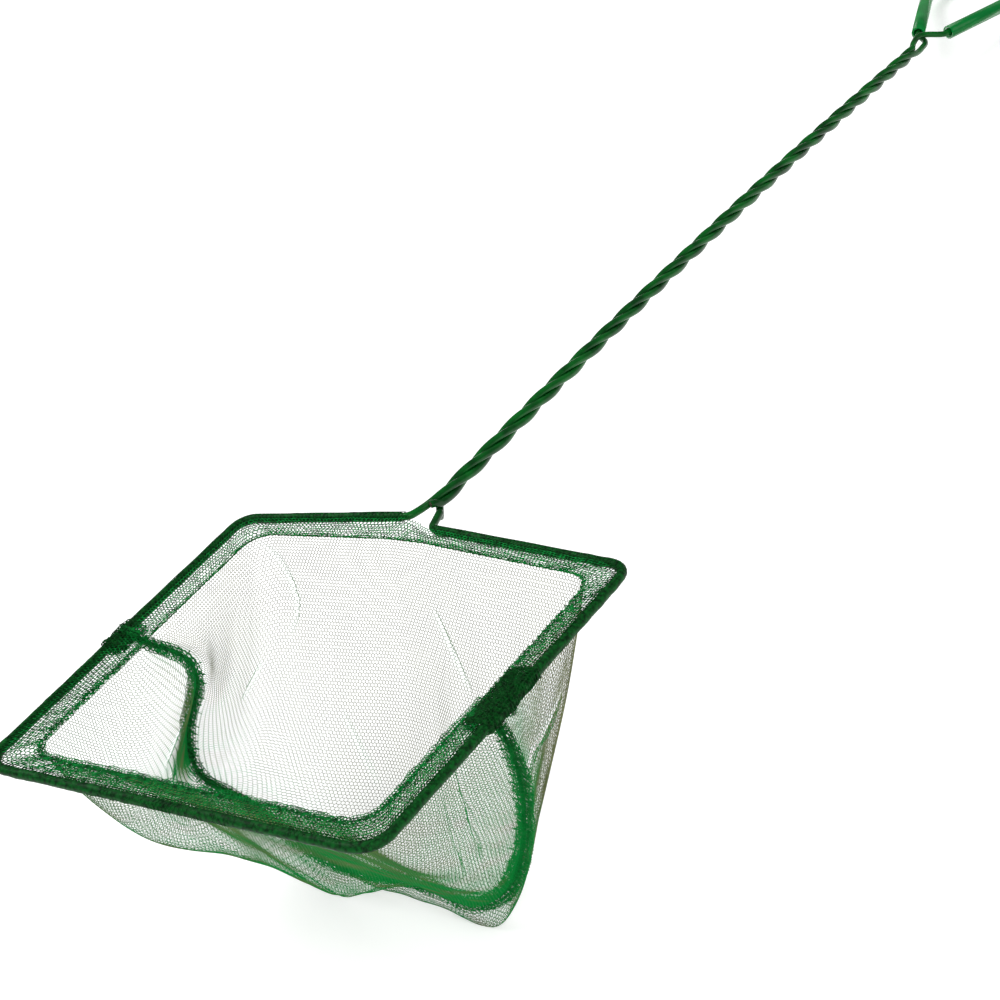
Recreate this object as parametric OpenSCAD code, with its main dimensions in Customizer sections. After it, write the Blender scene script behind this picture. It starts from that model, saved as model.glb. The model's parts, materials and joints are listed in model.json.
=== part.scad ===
// Aquarium fish net: one coated wire bent into a hoop and a twisted handle,
// a sewn mesh bag in the hoop and a loose soft sleeve on the hanging loop.
// The net lies on a flat surface, on the bag's bottom and the end of the loop.
// Net frame: u across the hoop, v from the neck to the loop, w square to the hoop.

/* [Hoop] */
// Width across the back corners, between wire centres
hoop_back_w = 152; // [110:1:230]
// Width across the front corners, between wire centres
hoop_front_w = 146; // [105:1:220]
// Depth from the back corners to the front bar
hoop_depth = 134; // [100:1:200]
// Bend radius of the two back corners
back_corner_r = 7; // [5:0.5:12]
// Bend radius of the two front corners
front_corner_r = 9; // [6:0.5:16]
// How far the neck stands behind the back corners
neck_rise = 12.5; // [10:0.5:18]
// How far the neck stands to the left of the hoop's middle
neck_shift = 9; // [0:0.5:16]

/* [Wire] */
// Diameter over the coating
wire_d = 2.6; // [2:0.1:3.2]
// Diameter of the steel core
core_d = 1.8; // [1.2:0.1:2]

/* [Handle] */
// Length of the twisted handle, from the neck to the crossing under the loop
handle_len = 416; // [250:1:450]
// Turns of the three strands along the handle
handle_turns = 9.01; // [5:0.01:11]
// Gap between neighbouring strands
strand_gap = 0.08; // [0.04:0.01:0.2]
// How far the handle's far end hangs below the plane of the hoop
handle_droop = 13; // [0:0.5:20]

/* [Loop] */
// Radius of the loop's round end, at the wire's centre
loop_r = 24; // [18:0.5:28]
// Angle of each leg to the loop's own middle line
loop_half_angle = 18.5; // [16:0.5:22]
// Angle of the loop's middle line to the handle, to the left
loop_turn = 0.8; // [0:0.1:3]

/* [Grip sleeve] */
// Outer diameter of the soft sleeve
sleeve_od = 6; // [5.6:0.1:7]
// Bore of the soft sleeve
sleeve_bore = 4; // [3.9:0.1:4.6]

/* [Bag] */
// Depth of the bag from the hoop to the surface that it rests on
bag_depth = 91; // [70:1:110]
// How far the hem reaches in from the front and side bars
hem_w = 9.5; // [7:0.5:12]
// How far the hem reaches in from the back bars
back_hem_w = 6; // [4:0.5:8]
// Thickness of the knitted mesh
mesh_t = 0.5; // [0.4:0.05:0.7]
// Wall of the hem where it wraps round the wire
wrap_t = 0.4; // [0.3:0.05:0.6]
// Openings of the net's grid across each panel
opening_columns = 12; // [6:1:12]
// Openings of the net's grid from the hem down to the seam
opening_rows = 5; // [3:1:6]
// Share of the grid's pitch that stays as cord between two openings
rib_share = 0.25; // [0.2:0.05:0.5]
// Width of the sewn seam between the two panels
seam_w = 3.4; // [2.5:0.1:4.5]
// Thickness of the sewn seam
seam_t = 1.6; // [1.2:0.1:2]
// Thickness of the hem's stitching thread
thread_d = 0.6; // [0.4:0.05:0.8]

/* [Hidden] */

coating_green = "#0f5a26";
sleeve_green = "#12a257";
steel_grey = "#7c7a72";
mesh_green = "#a9c2a4";
seam_green = "#128a3c";

// Wire bends at the neck
neck_bend_r = 3.6;
left_neck_gap = 5.5;
right_neck_gap = 7;
left_neck_v = -0.5;
right_neck_v = -5.9;
neck_end_v = 3;
left_neck_lean = 1.3;
right_neck_lean = -2.6;
// A bend is this much thicker than a straight run, and each run reaches this far into it
bend_swell = 0.04;
bend_overlap = 0.2;
bore_end_extra = 0.5;

// Twist of the handle
strand_r = (wire_d + strand_gap) / sqrt(3);
first_phase = 21;
even_twist_share = 0.93;
droop_start = 50;
left_join_v = 10;
right_join_v = 12;
tail_join_v = 9;
helix_end_gap = 17;
// The tail's cut end on top of the left wire, and where the right wire passes under the tail
tail_end = [0.7, 4.4, 2.2];
right_dip = [1.6, 6.2, -3.4];
// Two points of each wire between the twist and the loop: across, back from the handle's end, and off its line
under_points = [[0.4, 9, -1.3], [-2, 0, -1.6]];
over_points = [[-3.6, 8, 1], [-3.4, 0, 1.6]];
rings_per_turn = 10;
ease_steps = 9;
coating_sides = 8;
core_sides = 6;

// Loop, measured from the point where the lines of its legs meet
loop_point_gap = 14;
loop_point_shift = 0.8;
leg_start = 22;
sleeve_end_gap = 1;
loop_point = [-neck_shift - loop_point_shift, handle_len - loop_point_gap];
loop_pitch = atan(2 * handle_droop / (handle_len - droop_start));
loop_point_w = -handle_droop + loop_point_gap * tan(loop_pitch);
loop_flat = 1.5;
loop_corner_half = loop_r * tan(45 + loop_half_angle / 2) + loop_flat / 2;
loop_reach = loop_corner_half / tan(loop_half_angle);
loop_corner_reach = loop_corner_half / sin(loop_half_angle);
loop_len = (loop_reach - loop_r) * cos(loop_turn) + loop_r;
loop_end_v = loop_point.y + loop_len * cos(loop_pitch);
loop_end_w = loop_point_w - loop_len * sin(loop_pitch);

// Hoop corners and the ends of its wire at the neck
front_v = -neck_rise - hoop_depth;
back_left = [-hoop_back_w / 2, -neck_rise];
back_right = [hoop_back_w / 2, -neck_rise];
front_left = [-hoop_front_w / 2, front_v];
front_right = [hoop_front_w / 2, front_v];
neck_left = [-neck_shift - left_neck_gap, left_neck_v];
neck_right = [-neck_shift + right_neck_gap, right_neck_v];
neck_left_end = [neck_left.x + left_neck_lean, neck_end_v];
neck_right_end = [neck_right.x + right_neck_lean, neck_end_v];
hoop_path = [neck_left_end, neck_left, back_left, front_left, front_right, back_right, neck_right, neck_right_end];
hoop_radii = [0, neck_bend_r, back_corner_r, front_corner_r, front_corner_r, back_corner_r, neck_bend_r, 0];

// Hem and seam
seam_v = -neck_rise - hoop_depth / 2;
function bar_point(side, v) =
  let(share = (v - front_v) / hoop_depth)
  [side * (hoop_front_w + (hoop_back_w - hoop_front_w) * share) / 2, v];
wrap_r = wire_d / 2 + wrap_t;
wrap_clear = 0.05;
tack_len = 13;
tack_wall = 1;
sheet_gap = 0.1;
seam_clear = 0.5;
edge_gap = wrap_r + sheet_gap;
tack_gap = wrap_r + tack_wall + sheet_gap;
neck_bare = 9;
hem_drop = 1;
hem_corner_r = 9;
hem_side_u = hoop_front_w / 2 + (hoop_back_w - hoop_front_w) / 4 - hem_w;
hem_neck_v = right_neck_v - back_hem_w;
side_u = hem_side_u + hem_w;
end_share = 0.012;
middle_share = 0.5;
seam_rings = 56;

// Route of the seam from the left bar down, along the bottom and up to the right bar:
// shares of half the hoop's back width, half its depth behind the middle, and the bag's depth
seam_shares = [
  [-0.860, 0.00, -0.020],
  [-0.760, 0.00, -0.035],
  [-0.660, 0.00, -0.035],
  [-0.600, 0.00, -0.100],
  [-0.660, 0.00, -0.200],
  [-0.740, -0.03, -0.310],
  [-0.800, -0.05, -0.450],
  [-0.810, -0.06, -0.560],
  [-0.740, -0.05, -0.605],
  [-0.600, -0.02, -0.670],
  [-0.400, 0.00, -0.840],
  [-0.290, 0.00, -0.890],
  [-0.140, 0.00, -0.915],
  [0.120, 0.00, -0.895],
  [0.300, 0.00, -0.900],
  [0.390, 0.00, -0.945],
  [0.480, 0.00, -0.950],
  [0.600, 0.00, -0.890],
  [0.710, 0.00, -0.800],
  [0.830, 0.00, -0.610],
  [0.900, 0.00, -0.410],
  [0.920, 0.00, -0.250],
  [0.905, 0.00, -0.130],
  [0.850, 0.00, -0.060]
];

// Tilt at which the bag's bottom and the sleeve's end touch the same level surface
rest_back_share = 0.10;
rest_v = seam_v + rest_back_share * hoop_depth;
rest_span = loop_end_v - rest_v;
rest_drop = bag_depth + loop_end_w;
tilt = acos(sleeve_od / 2 / norm([rest_drop, rest_span])) - atan(rest_span / rest_drop);
rest_rise = loop_end_v * sin(tilt) - loop_end_w * cos(tilt) + sleeve_od / 2;
front_y = front_v * cos(tilt) - wrap_r;
loop_y = loop_end_v * cos(tilt) + loop_end_w * sin(tilt) + sleeve_od / 2;
middle_y = (front_y + loop_y) / 2;

$fn = 24;

// Point of the net frame in the frame of the part
function placed(p) = [
  p.x,
  p.y * cos(tilt) + p.z * sin(tilt) - middle_y,
  p.z * cos(tilt) - p.y * sin(tilt) + rest_rise
];

// Tools for points on paths
function unit(p) = p / norm(p);
function blend(a, b, t) = a + (b - a) * t;
function flat_to_net(p, w = 0) = [p.x, p.y, w];
function running_lengths(path, i = 0, sum = 0) =
  i == len(path) - 1
    ? [sum]
    : concat([sum], running_lengths(path, i + 1, sum + norm(path[i + 1] - path[i])));
function span_index(lengths, at, i = 0) =
  i >= len(lengths) - 2 || lengths[i + 1] >= at ? i : span_index(lengths, at, i + 1);
function point_at(path, lengths, share) =
  let(
    at = share * lengths[len(lengths) - 1],
    i = span_index(lengths, at)
  )
  blend(path[i], path[i + 1], (at - lengths[i]) / (lengths[i + 1] - lengths[i]));
function bezier(a, b, c, d, t) =
  pow(1 - t, 3) * a + 3 * t * pow(1 - t, 2) * b + 3 * t * t * (1 - t) * c + pow(t, 3) * d;

// Tools for bends in a flat path: how far a bend reaches, and points round it
function turn_angle(a, b, c) =
  let(p = unit(b - a), q = unit(c - b))
  atan2(p.x * q.y - p.y * q.x, p * q);
function bend_reach(path, radii, i) =
  radii[i] == 0 ? 0 : radii[i] * tan(abs(turn_angle(path[i - 1], path[i], path[i + 1])) / 2);
function rounded(path, radii, steps) = [
  for (i = [0:len(path) - 1])
    let(reach = bend_reach(path, radii, i))
    each reach == 0
      ? [path[i]]
      : let(
          a = path[i] + unit(path[i - 1] - path[i]) * reach,
          c = path[i] + unit(path[i + 1] - path[i]) * reach
        )
        [for (k = [0:steps]) let(t = k / steps) blend(blend(a, path[i], t), blend(path[i], c, t), t)]
];

// Strands of the handle
function twist_share(x) = even_twist_share * x + (1 - even_twist_share) * x * x;
function phase_at(v, first) = first + 360 * handle_turns * twist_share(v / handle_len);
function droop_at(v) = -handle_droop * pow(max(0, v - droop_start) / (handle_len - droop_start), 2);
function helix_point(v, first) = [
  -neck_shift + strand_r * sin(phase_at(v, first)),
  v,
  droop_at(v) + strand_r * cos(phase_at(v, first))
];
function helix_slope(v, first) =
  unit(helix_point(v + wire_d, first) - helix_point(v - wire_d, first));
function eased(a, a_slope, b, b_slope) =
  let(pull = norm(b - a) / 3)
  [for (k = [0:ease_steps]) bezier(a, a + a_slope * pull, b - b_slope * pull, b, k / ease_steps)];
function helix_run(first, from_v, to_v) =
  let(steps = ceil(handle_turns * rings_per_turn * (to_v - from_v) / handle_len))
  [for (k = [1:steps - 1]) helix_point(blend(from_v, to_v, k / steps), first)];

function leg_slope(side) =
  let(angle = side * loop_half_angle - loop_turn)
  [sin(angle), cos(angle)];
function leg_point(side, reach) = loop_point + reach * leg_slope(side);
function loop_path(start) = [
  leg_point(-1, start),
  leg_point(-1, loop_corner_reach),
  leg_point(1, loop_corner_reach),
  leg_point(1, start)
];
loop_radii = [0, loop_r, loop_r, 0];

function loop_to_net(p) = [
  p.x,
  loop_point.y + (p.y - loop_point.y) * cos(loop_pitch),
  loop_point_w - (p.y - loop_point.y) * sin(loop_pitch)
];
function leg_start_net(side) = loop_to_net(leg_point(side, leg_start));
function leg_slope_net(side) = unit(loop_to_net(leg_point(side, 2 * leg_start)) - leg_start_net(side));

left_phase = first_phase + 240;
right_phase = first_phase + 120;
helix_end_v = handle_len - helix_end_gap;

// Points that a wire goes through beyond the twist, and a smooth run through such points
function crossing_point(p) =
  let(v = handle_len - p.y)
  [-neck_shift + p.x, v, droop_at(v) + p.z];
function through(points, first_slope, last_slope) = [
  for (i = [0:len(points) - 2])
    let(
      a_slope = i == 0 ? first_slope : unit(points[i + 1] - points[i - 1]),
      b_slope = i == len(points) - 2 ? last_slope : unit(points[i + 2] - points[i]),
      run = eased(points[i], a_slope, points[i + 1], b_slope)
    )
    for (k = [i == 0 ? 0 : 1:len(run) - 1]) run[k]
];
function to_loop(first, points, side) =
  through(
    concat([helix_point(helix_end_v, first)], [for (p = points) crossing_point(p)], [leg_start_net(side)]),
    helix_slope(helix_end_v, first), leg_slope_net(side)
  );

left_strand_path = concat(
  eased(
    flat_to_net(neck_left_end), flat_to_net(unit(neck_left_end - neck_left)),
    helix_point(left_join_v, left_phase), helix_slope(left_join_v, left_phase)
  ),
  helix_run(left_phase, left_join_v, helix_end_v),
  to_loop(left_phase, under_points, -1)
);
right_strand_path = concat(
  through(
    [
      flat_to_net(neck_right_end),
      [-neck_shift + right_dip.x, right_dip.y, right_dip.z],
      helix_point(right_join_v, right_phase)
    ],
    flat_to_net(unit(neck_right_end - neck_right)), helix_slope(right_join_v, right_phase)
  ),
  helix_run(right_phase, right_join_v, helix_end_v),
  [helix_point(helix_end_v, right_phase)]
);
tail_start = [-neck_shift + tail_end.x, tail_end.y, tail_end.z];
tail_strand_path = concat(
  eased(
    tail_start, unit([tail_end.z, tail_end.y, 0]),
    helix_point(tail_join_v, first_phase), helix_slope(tail_join_v, first_phase)
  ),
  helix_run(first_phase, tail_join_v, helix_end_v),
  to_loop(first_phase, over_points, 1)
);

// Hem line of each panel, and the line where its cloth leaves the wire
hem_side = flat_to_net([hem_side_u, seam_v], -hem_drop);
hem_front_corner = [hoop_front_w / 2 - hem_w, front_v + hem_w];
hem_back_corner = [hoop_back_w / 2 - hem_w, -neck_rise - back_hem_w];
front_hem_flat = [
  [-hem_side_u, seam_v],
  [-hem_front_corner.x, hem_front_corner.y],
  hem_front_corner,
  [hem_side_u, seam_v]
];
tack_clear_front = bar_point(1, seam_v - tack_len / 2 - sheet_gap) - [tack_gap, 0];
tack_clear_back = bar_point(1, seam_v + tack_len / 2 + sheet_gap) - [tack_gap, 0];
hem_start_front = bar_point(1, seam_v - tack_len) - [edge_gap, 0];
hem_start_back = bar_point(1, seam_v + tack_len) - [edge_gap, 0];
function mirrored(p) = [-p.x, p.y];
front_wire_flat = [
  [-side_u + tack_gap, seam_v],
  mirrored(tack_clear_front),
  mirrored(hem_start_front),
  front_left + [edge_gap, edge_gap],
  front_right + [-edge_gap, edge_gap],
  hem_start_front,
  tack_clear_front,
  [side_u - tack_gap, seam_v]
];
back_hem_flat = [
  [-hem_side_u, seam_v],
  [-hem_back_corner.x, hem_back_corner.y],
  [neck_left.x, hem_neck_v],
  [neck_right.x, hem_neck_v],
  hem_back_corner,
  [hem_side_u, seam_v]
];
back_wire_flat = [
  [-side_u + tack_gap, seam_v],
  mirrored(tack_clear_back),
  mirrored(hem_start_back),
  back_left + [edge_gap, -edge_gap],
  neck_left + [0, -edge_gap],
  neck_right + [0, -edge_gap],
  back_right + [-edge_gap, -edge_gap],
  hem_start_back,
  tack_clear_back,
  [side_u - tack_gap, seam_v]
];
front_hem_radii = [0, hem_corner_r, hem_corner_r, 0];
back_hem_radii = [0, hem_corner_r, 0, 0, hem_corner_r, 0];
front_wire_radii = [0, 0, 0, hem_corner_r, hem_corner_r, 0, 0, 0];
back_wire_radii = [0, 0, 0, hem_corner_r, 0, 0, hem_corner_r, 0, 0, 0];
front_hem_line = rounded(front_hem_flat, front_hem_radii, 5);
back_hem_line = rounded(back_hem_flat, back_hem_radii, 5);
front_wire_line = rounded(front_wire_flat, front_wire_radii, 5);
back_wire_line = rounded(back_wire_flat, back_wire_radii, 5);

seam_line = [
  for (s = seam_shares)
    [s.x * hoop_back_w / 2, seam_v + s.y * hoop_depth / 2, s.z * bag_depth]
];
seam_lengths = running_lengths(seam_line);

// Shares along a run where the net's grid has points: the ends, and each opening's sides and middle
grid_step = 3;
function grid_shares(count) =
  concat(
    [0],
    [
      for (k = [0:count - 1]) for (share = [rib_share / 2, middle_share, 1 - rib_share / 2])
        (k + share) / count
    ],
    [1]
  );
// Whether a cell of a panel's grid is open; the first cell of a row is the hem's cloth
function is_open(i, j) = j > 0 && i % grid_step != 0 && (j - 1) % grid_step != 0;

// Row of points of a panel: out of the wire's wrap, across the hem and down to the seam.
// side is -1 for the front panel and 1 for the back one.
// Pulls that shape the cloth at even stations from the left tack to the right one, as shares of
// the way from hem to seam: out and down below the hem, then right, out and down at the seam
front_pull_shares = [
  [0.00, 0.55, 0.00, 0.50, 0.35],
  [-0.15, 0.50, 0.10, 0.45, 0.40],
  [-0.30, 0.40, 0.20, 0.10, 0.30],
  [-0.20, 0.35, 0.05, 0.10, 0.20],
  [-0.10, 0.40, 0.00, 0.20, 0.10],
  [0.00, 0.40, -0.05, 0.30, 0.00]
];
back_pull_shares = [
  [0.00, 0.45, 0.00, 0.35, 0.10],
  [0.00, 0.40, 0.10, 0.20, 0.25],
  [-0.05, 0.35, 0.20, 0.10, 0.35],
  [-0.05, 0.20, 0.20, 0.00, 0.35],
  [-0.10, 0.15, 0.00, 0.00, 0.20],
  [-0.05, 0.15, -0.10, 0.20, 0.05]
];
function soft_step(t) = t * t * (3 - 2 * t);
function pull_at(rows, share) =
  let(
    at = share * (len(rows) - 1),
    i = min(floor(at), len(rows) - 2)
  )
  blend(rows[i], rows[i + 1], soft_step(at - i));
function panel_rung(share, side, wire_line, wire_lengths, hem_line, hem_lengths) =
  let(
    start = flat_to_net(point_at(wire_line, wire_lengths, share)),
    hem = flat_to_net(point_at(hem_line, hem_lengths, share), -hem_drop),
    foot = point_at(seam_line, seam_lengths, share) + [0, side * (seam_t / 2 + seam_clear), 0],
    reach = norm(foot - hem),
    pull = pull_at(side < 0 ? front_pull_shares : back_pull_shares, share),
    top_pull = [0, side * pull[0], -pull[1]] * reach,
    foot_pull = [pull[2], side * pull[3], -pull[4]] * reach
  )
  concat(
    [start],
    [for (t = grid_shares(opening_rows)) bezier(hem, hem + top_pull, foot + foot_pull, foot, t)]
  );
function panel_grid(side, wire_line, hem_line) =
  let(
    wire_lengths = running_lengths(wire_line),
    hem_lengths = running_lengths(hem_line)
  )
  [
    for (t = grid_shares(opening_columns))
      panel_rung(
        blend(end_share, 1 - end_share, t), side,
        wire_line, wire_lengths, hem_line, hem_lengths
      )
  ];

// Sheet of even thickness on a grid of points, with the net's openings cut through it,
// pressed flat where it meets the surface below
function grid_normal(grid, i, j) =
  let(
    a = grid[min(i + 1, len(grid) - 1)][j] - grid[max(i - 1, 0)][j],
    b = grid[i][min(j + 1, len(grid[0]) - 1)] - grid[i][max(j - 1, 0)]
  )
  unit(cross(a, b));
function above(p, low) = [p.x, p.y, max(p.z, low)];
module sheet(grid, t, inward) {
  columns = len(grid);
  rows = len(grid[0]);
  outer = [for (i = [0:columns - 1]) for (j = [0:rows - 1]) above(placed(grid[i][j]), 0)];
  inner = [
    for (i = [0:columns - 1]) for (j = [0:rows - 1])
      above(placed(grid[i][j] + inward * t * grid_normal(grid, i, j)), t)
  ];
  count = columns * rows;
  function at(i, j) = i * rows + j;
  function quad(a, b, c, d) = inward > 0 ? [[a, b, c], [a, c, d]] : [[a, c, b], [a, d, c]];
  function rim(a, b) = quad(a, b, count + b, count + a);
  function cell(i, j) =
    concat(
      quad(at(i, j), at(i, j + 1), at(i + 1, j + 1), at(i + 1, j)),
      quad(
        count + at(i, j), count + at(i + 1, j),
        count + at(i + 1, j + 1), count + at(i, j + 1)
      )
    );
  function opening(i, j) =
    concat(
      is_open(i - 1, j) ? [] : rim(at(i, j), at(i, j + 1)),
      is_open(i + 1, j) ? [] : rim(at(i + 1, j + 1), at(i + 1, j)),
      is_open(i, j - 1) ? [] : rim(at(i + 1, j), at(i, j)),
      is_open(i, j + 1) ? [] : rim(at(i, j + 1), at(i + 1, j + 1))
    );
  faces = [
    for (i = [0:columns - 2]) for (j = [0:rows - 2])
      each is_open(i, j) ? opening(i, j) : cell(i, j),
    for (i = [0:columns - 2])
      each concat(rim(at(i, 0), at(i + 1, 0)), rim(at(i + 1, rows - 1), at(i, rows - 1))),
    for (j = [0:rows - 2])
      each concat(rim(at(0, j + 1), at(0, j)), rim(at(columns - 1, j), at(columns - 1, j + 1)))
  ];
  polyhedron(points = concat(outer, inner), faces = faces);
}

// Tube along a path of the net frame, of a flat-sided section, with a bore where one is given
function path_slope(path, i) =
  unit(path[min(i + 1, len(path) - 1)] - path[max(i - 1, 0)]);
function ring(centre, slope, up, wide, tall, sides) =
  let(
    across = unit(cross(slope, up)),
    over = cross(across, slope)
  )
  [
    for (k = [0:sides - 1])
      let(angle = 360 * k / sides)
      placed(centre + wide / 2 * cos(angle) * across + tall / 2 * sin(angle) * over)
  ];
function wall_faces(first, rings, sides, outward) = [
  for (i = [0:rings - 2]) for (k = [0:sides - 1])
    let(
      a = first + i * sides + k,
      b = first + i * sides + (k + 1) % sides,
      c = b + sides,
      d = a + sides
    )
    each outward ? [[a, b, c], [a, c, d]] : [[a, c, b], [a, d, c]]
];
module swept(path, wide, tall, sides, up = [0, 0, 1]) {
  rings = len(path);
  points = [for (i = [0:rings - 1]) each ring(path[i], path_slope(path, i), up, wide, tall, sides)];
  last = (rings - 1) * sides;
  faces = concat(
    wall_faces(0, rings, sides, true),
    [for (k = [1:sides - 2]) [0, k + 1, k]],
    [for (k = [1:sides - 2]) [last, last + k, last + k + 1]]
  );
  polyhedron(points = points, faces = faces);
}
// Faces that join an outer ring to a bore's ring at one end, walking round both together
function rim_faces(outer, inner, outer_n, inner_n, flip, i = 0, k = 0) =
  i == outer_n && k == inner_n
    ? []
    : let(
        step_outer = k == inner_n || (i < outer_n && (i + 1) / outer_n <= (k + 1) / inner_n),
        a = outer + i % outer_n,
        c = inner + k % inner_n,
        b = step_outer ? outer + (i + 1) % outer_n : inner + (k + 1) % inner_n,
        face = flip ? [a, c, b] : [a, b, c]
      )
      concat([face], rim_faces(outer, inner, outer_n, inner_n, flip, step_outer ? i + 1 : i, step_outer ? k : k + 1));
module swept_tube(path, outer_d, bore_d) {
  rings = len(path);
  up = [0, 0, 1];
  outer_points = [
    for (i = [0:rings - 1]) each ring(path[i], path_slope(path, i), up, outer_d, outer_d, coating_sides)
  ];
  bore_points = [
    for (i = [0:rings - 1]) each ring(path[i], path_slope(path, i), up, bore_d, bore_d, core_sides)
  ];
  bore = len(outer_points);
  last = rings - 1;
  faces = concat(
    wall_faces(0, rings, coating_sides, true),
    wall_faces(bore, rings, core_sides, false),
    rim_faces(0, bore, coating_sides, core_sides, true),
    rim_faces(last * coating_sides, bore + last * core_sides, coating_sides, core_sides, false)
  );
  polyhedron(points = concat(outer_points, bore_points), faces = faces);
}

// Round rod bent in the plane of the hoop: straight runs that reach a little into round bends
module straight_run(a, b, d) {
  step = b - a;
  translate([a.x, a.y, 0])
    rotate([0, 90, atan2(step.y, step.x)])
      cylinder(d = d, h = norm(step));
}
module bend(a, b, c, r, d) {
  turn = turn_angle(a, b, c);
  side = turn > 0 ? 1 : -1;
  reach = r * tan(abs(turn) / 2);
  start = b + unit(a - b) * reach;
  heading = atan2(b.y - a.y, b.x - a.x);
  centre = start + side * r * [-sin(heading), cos(heading)];
  from = side > 0 ? heading - 90 : heading + 90 - abs(turn);
  translate([centre.x, centre.y, 0])
    rotate([0, 0, from])
      rotate_extrude(angle = abs(turn)) translate([r, 0]) circle(d = d + bend_swell);
}
function run_inset(path, radii, i, extra) =
  i == 0 || i == len(path) - 1 ? -extra : bend_reach(path, radii, i) - bend_overlap;
module bent_rod(path, radii, d, extra = 0) {
  for (i = [0:len(path) - 2]) {
    way = unit(path[i + 1] - path[i]);
    straight_run(
      path[i] + way * run_inset(path, radii, i, extra),
      path[i + 1] - way * run_inset(path, radii, i + 1, extra),
      d
    );
  }
  for (i = [1:len(path) - 2])
    bend(path[i - 1], path[i], path[i + 1], radii[i], d);
}
module bent_tube(path, radii, outer_d, bore_d) {
  difference() {
    bent_rod(path, radii, outer_d);
    bent_rod(path, radii, bore_d, bore_end_extra);
  }
}
module in_place() {
  translate([0, -middle_y, rest_rise]) rotate([-tilt, 0, 0]) children();
}

module in_loop_place() {
  in_place()
    translate([0, loop_point.y, loop_point_w])
      rotate([-loop_pitch, 0, 0])
        translate([0, -loop_point.y, 0]) children();
}

// Sub-parts
module hoop_coating() {
  color(coating_green) in_place() bent_tube(hoop_path, hoop_radii, wire_d, core_d);
}
module hoop_core() {
  color(steel_grey) in_place() bent_rod(hoop_path, hoop_radii, core_d);
}
module left_strand_coating() {
  color(coating_green) swept_tube(left_strand_path, wire_d, core_d);
}
module left_strand_core() {
  color(steel_grey) swept(left_strand_path, core_d, core_d, core_sides);
}
module right_strand_coating() {
  color(coating_green) swept_tube(right_strand_path, wire_d, core_d);
}
module right_strand_core() {
  color(steel_grey) swept(right_strand_path, core_d, core_d, core_sides);
}
module tail_strand_coating() {
  color(coating_green) swept_tube(tail_strand_path, wire_d, core_d);
}
module tail_strand_core() {
  color(steel_grey) swept(tail_strand_path, core_d, core_d, core_sides);
}
module loop_coating() {
  color(coating_green) in_loop_place() bent_tube(loop_path(leg_start), loop_radii, wire_d, core_d);
}
module loop_core() {
  color(steel_grey) in_loop_place() bent_rod(loop_path(leg_start), loop_radii, core_d);
}
module grip_sleeve() {
  color(sleeve_green) in_loop_place()
    bent_tube(loop_path(leg_start + sleeve_end_gap), loop_radii, sleeve_od, sleeve_bore);
}
module front_panel() {
  color(mesh_green) sheet(panel_grid(-1, front_wire_line, front_hem_line), mesh_t, 1);
}
module back_panel() {
  color(mesh_green) sheet(panel_grid(1, back_wire_line, back_hem_line), mesh_t, -1);
}
module bag_seam() {
  path = [for (k = [0:seam_rings]) point_at(seam_line, seam_lengths, k / seam_rings)];
  color(seam_green) swept(path, seam_w, seam_t, coating_sides, [0, 1, 0]);
}
module hem_wrap(path, radii) {
  in_place() bent_tube(path, radii, 2 * wrap_r, wire_d + 2 * wrap_clear);
}
module front_hem() {
  stop_v = seam_v - tack_len / 2;
  path = [bar_point(-1, stop_v), front_left, front_right, bar_point(1, stop_v)];
  color(coating_green) hem_wrap(path, [0, front_corner_r, front_corner_r, 0]);
}
module back_hem() {
  left_stop = neck_left + unit(back_left - neck_left) * neck_bare;
  right_stop = neck_right + unit(back_right - neck_right) * neck_bare;
  stop_v = seam_v + tack_len / 2;
  color(coating_green) {
    hem_wrap([left_stop, back_left, bar_point(-1, stop_v)], [0, back_corner_r, 0]);
    hem_wrap([right_stop, back_right, bar_point(1, stop_v)], [0, back_corner_r, 0]);
  }
}
module stitching(hem_line) {
  lengths = running_lengths(hem_line);
  rise = mesh_t + thread_d / 2 + sheet_gap - hem_drop;
  path = [
    for (t = grid_shares(opening_columns))
      flat_to_net(point_at(hem_line, lengths, blend(end_share, 1 - end_share, t)), rise)
  ];
  swept(path, thread_d, thread_d, core_sides);
}
module front_hem_stitching() {
  color(seam_green) stitching(front_hem_line);
}
module back_hem_stitching() {
  color(seam_green) stitching(back_hem_line);
}
module seam_tack(side) {
  a = bar_point(side, seam_v - tack_len / 2 + sheet_gap);
  b = bar_point(side, seam_v + tack_len / 2 - sheet_gap);
  in_place() bent_tube([a, b], [0, 0], 2 * (wrap_r + tack_wall), wire_d + 2 * wrap_clear);
}
module left_seam_tack() {
  color(seam_green) seam_tack(-1);
}
module right_seam_tack() {
  color(seam_green) seam_tack(1);
}

hoop_coating();
hoop_core();
left_strand_coating();
left_strand_core();
right_strand_coating();
right_strand_core();
tail_strand_coating();
tail_strand_core();
loop_coating();
loop_core();
grip_sleeve();
front_panel();
back_panel();
bag_seam();
front_hem();
back_hem();
front_hem_stitching();
back_hem_stitching();
left_seam_tack();
right_seam_tack();
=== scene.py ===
"""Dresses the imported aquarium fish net: coated wire, knitted bag, hem, seam, stitches and soft sleeve."""

import json
import math

import bpy
import numpy as np
from bpy.props import FloatProperty, IntProperty, PointerProperty, StringProperty
from mathutils import Matrix, Vector

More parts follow.
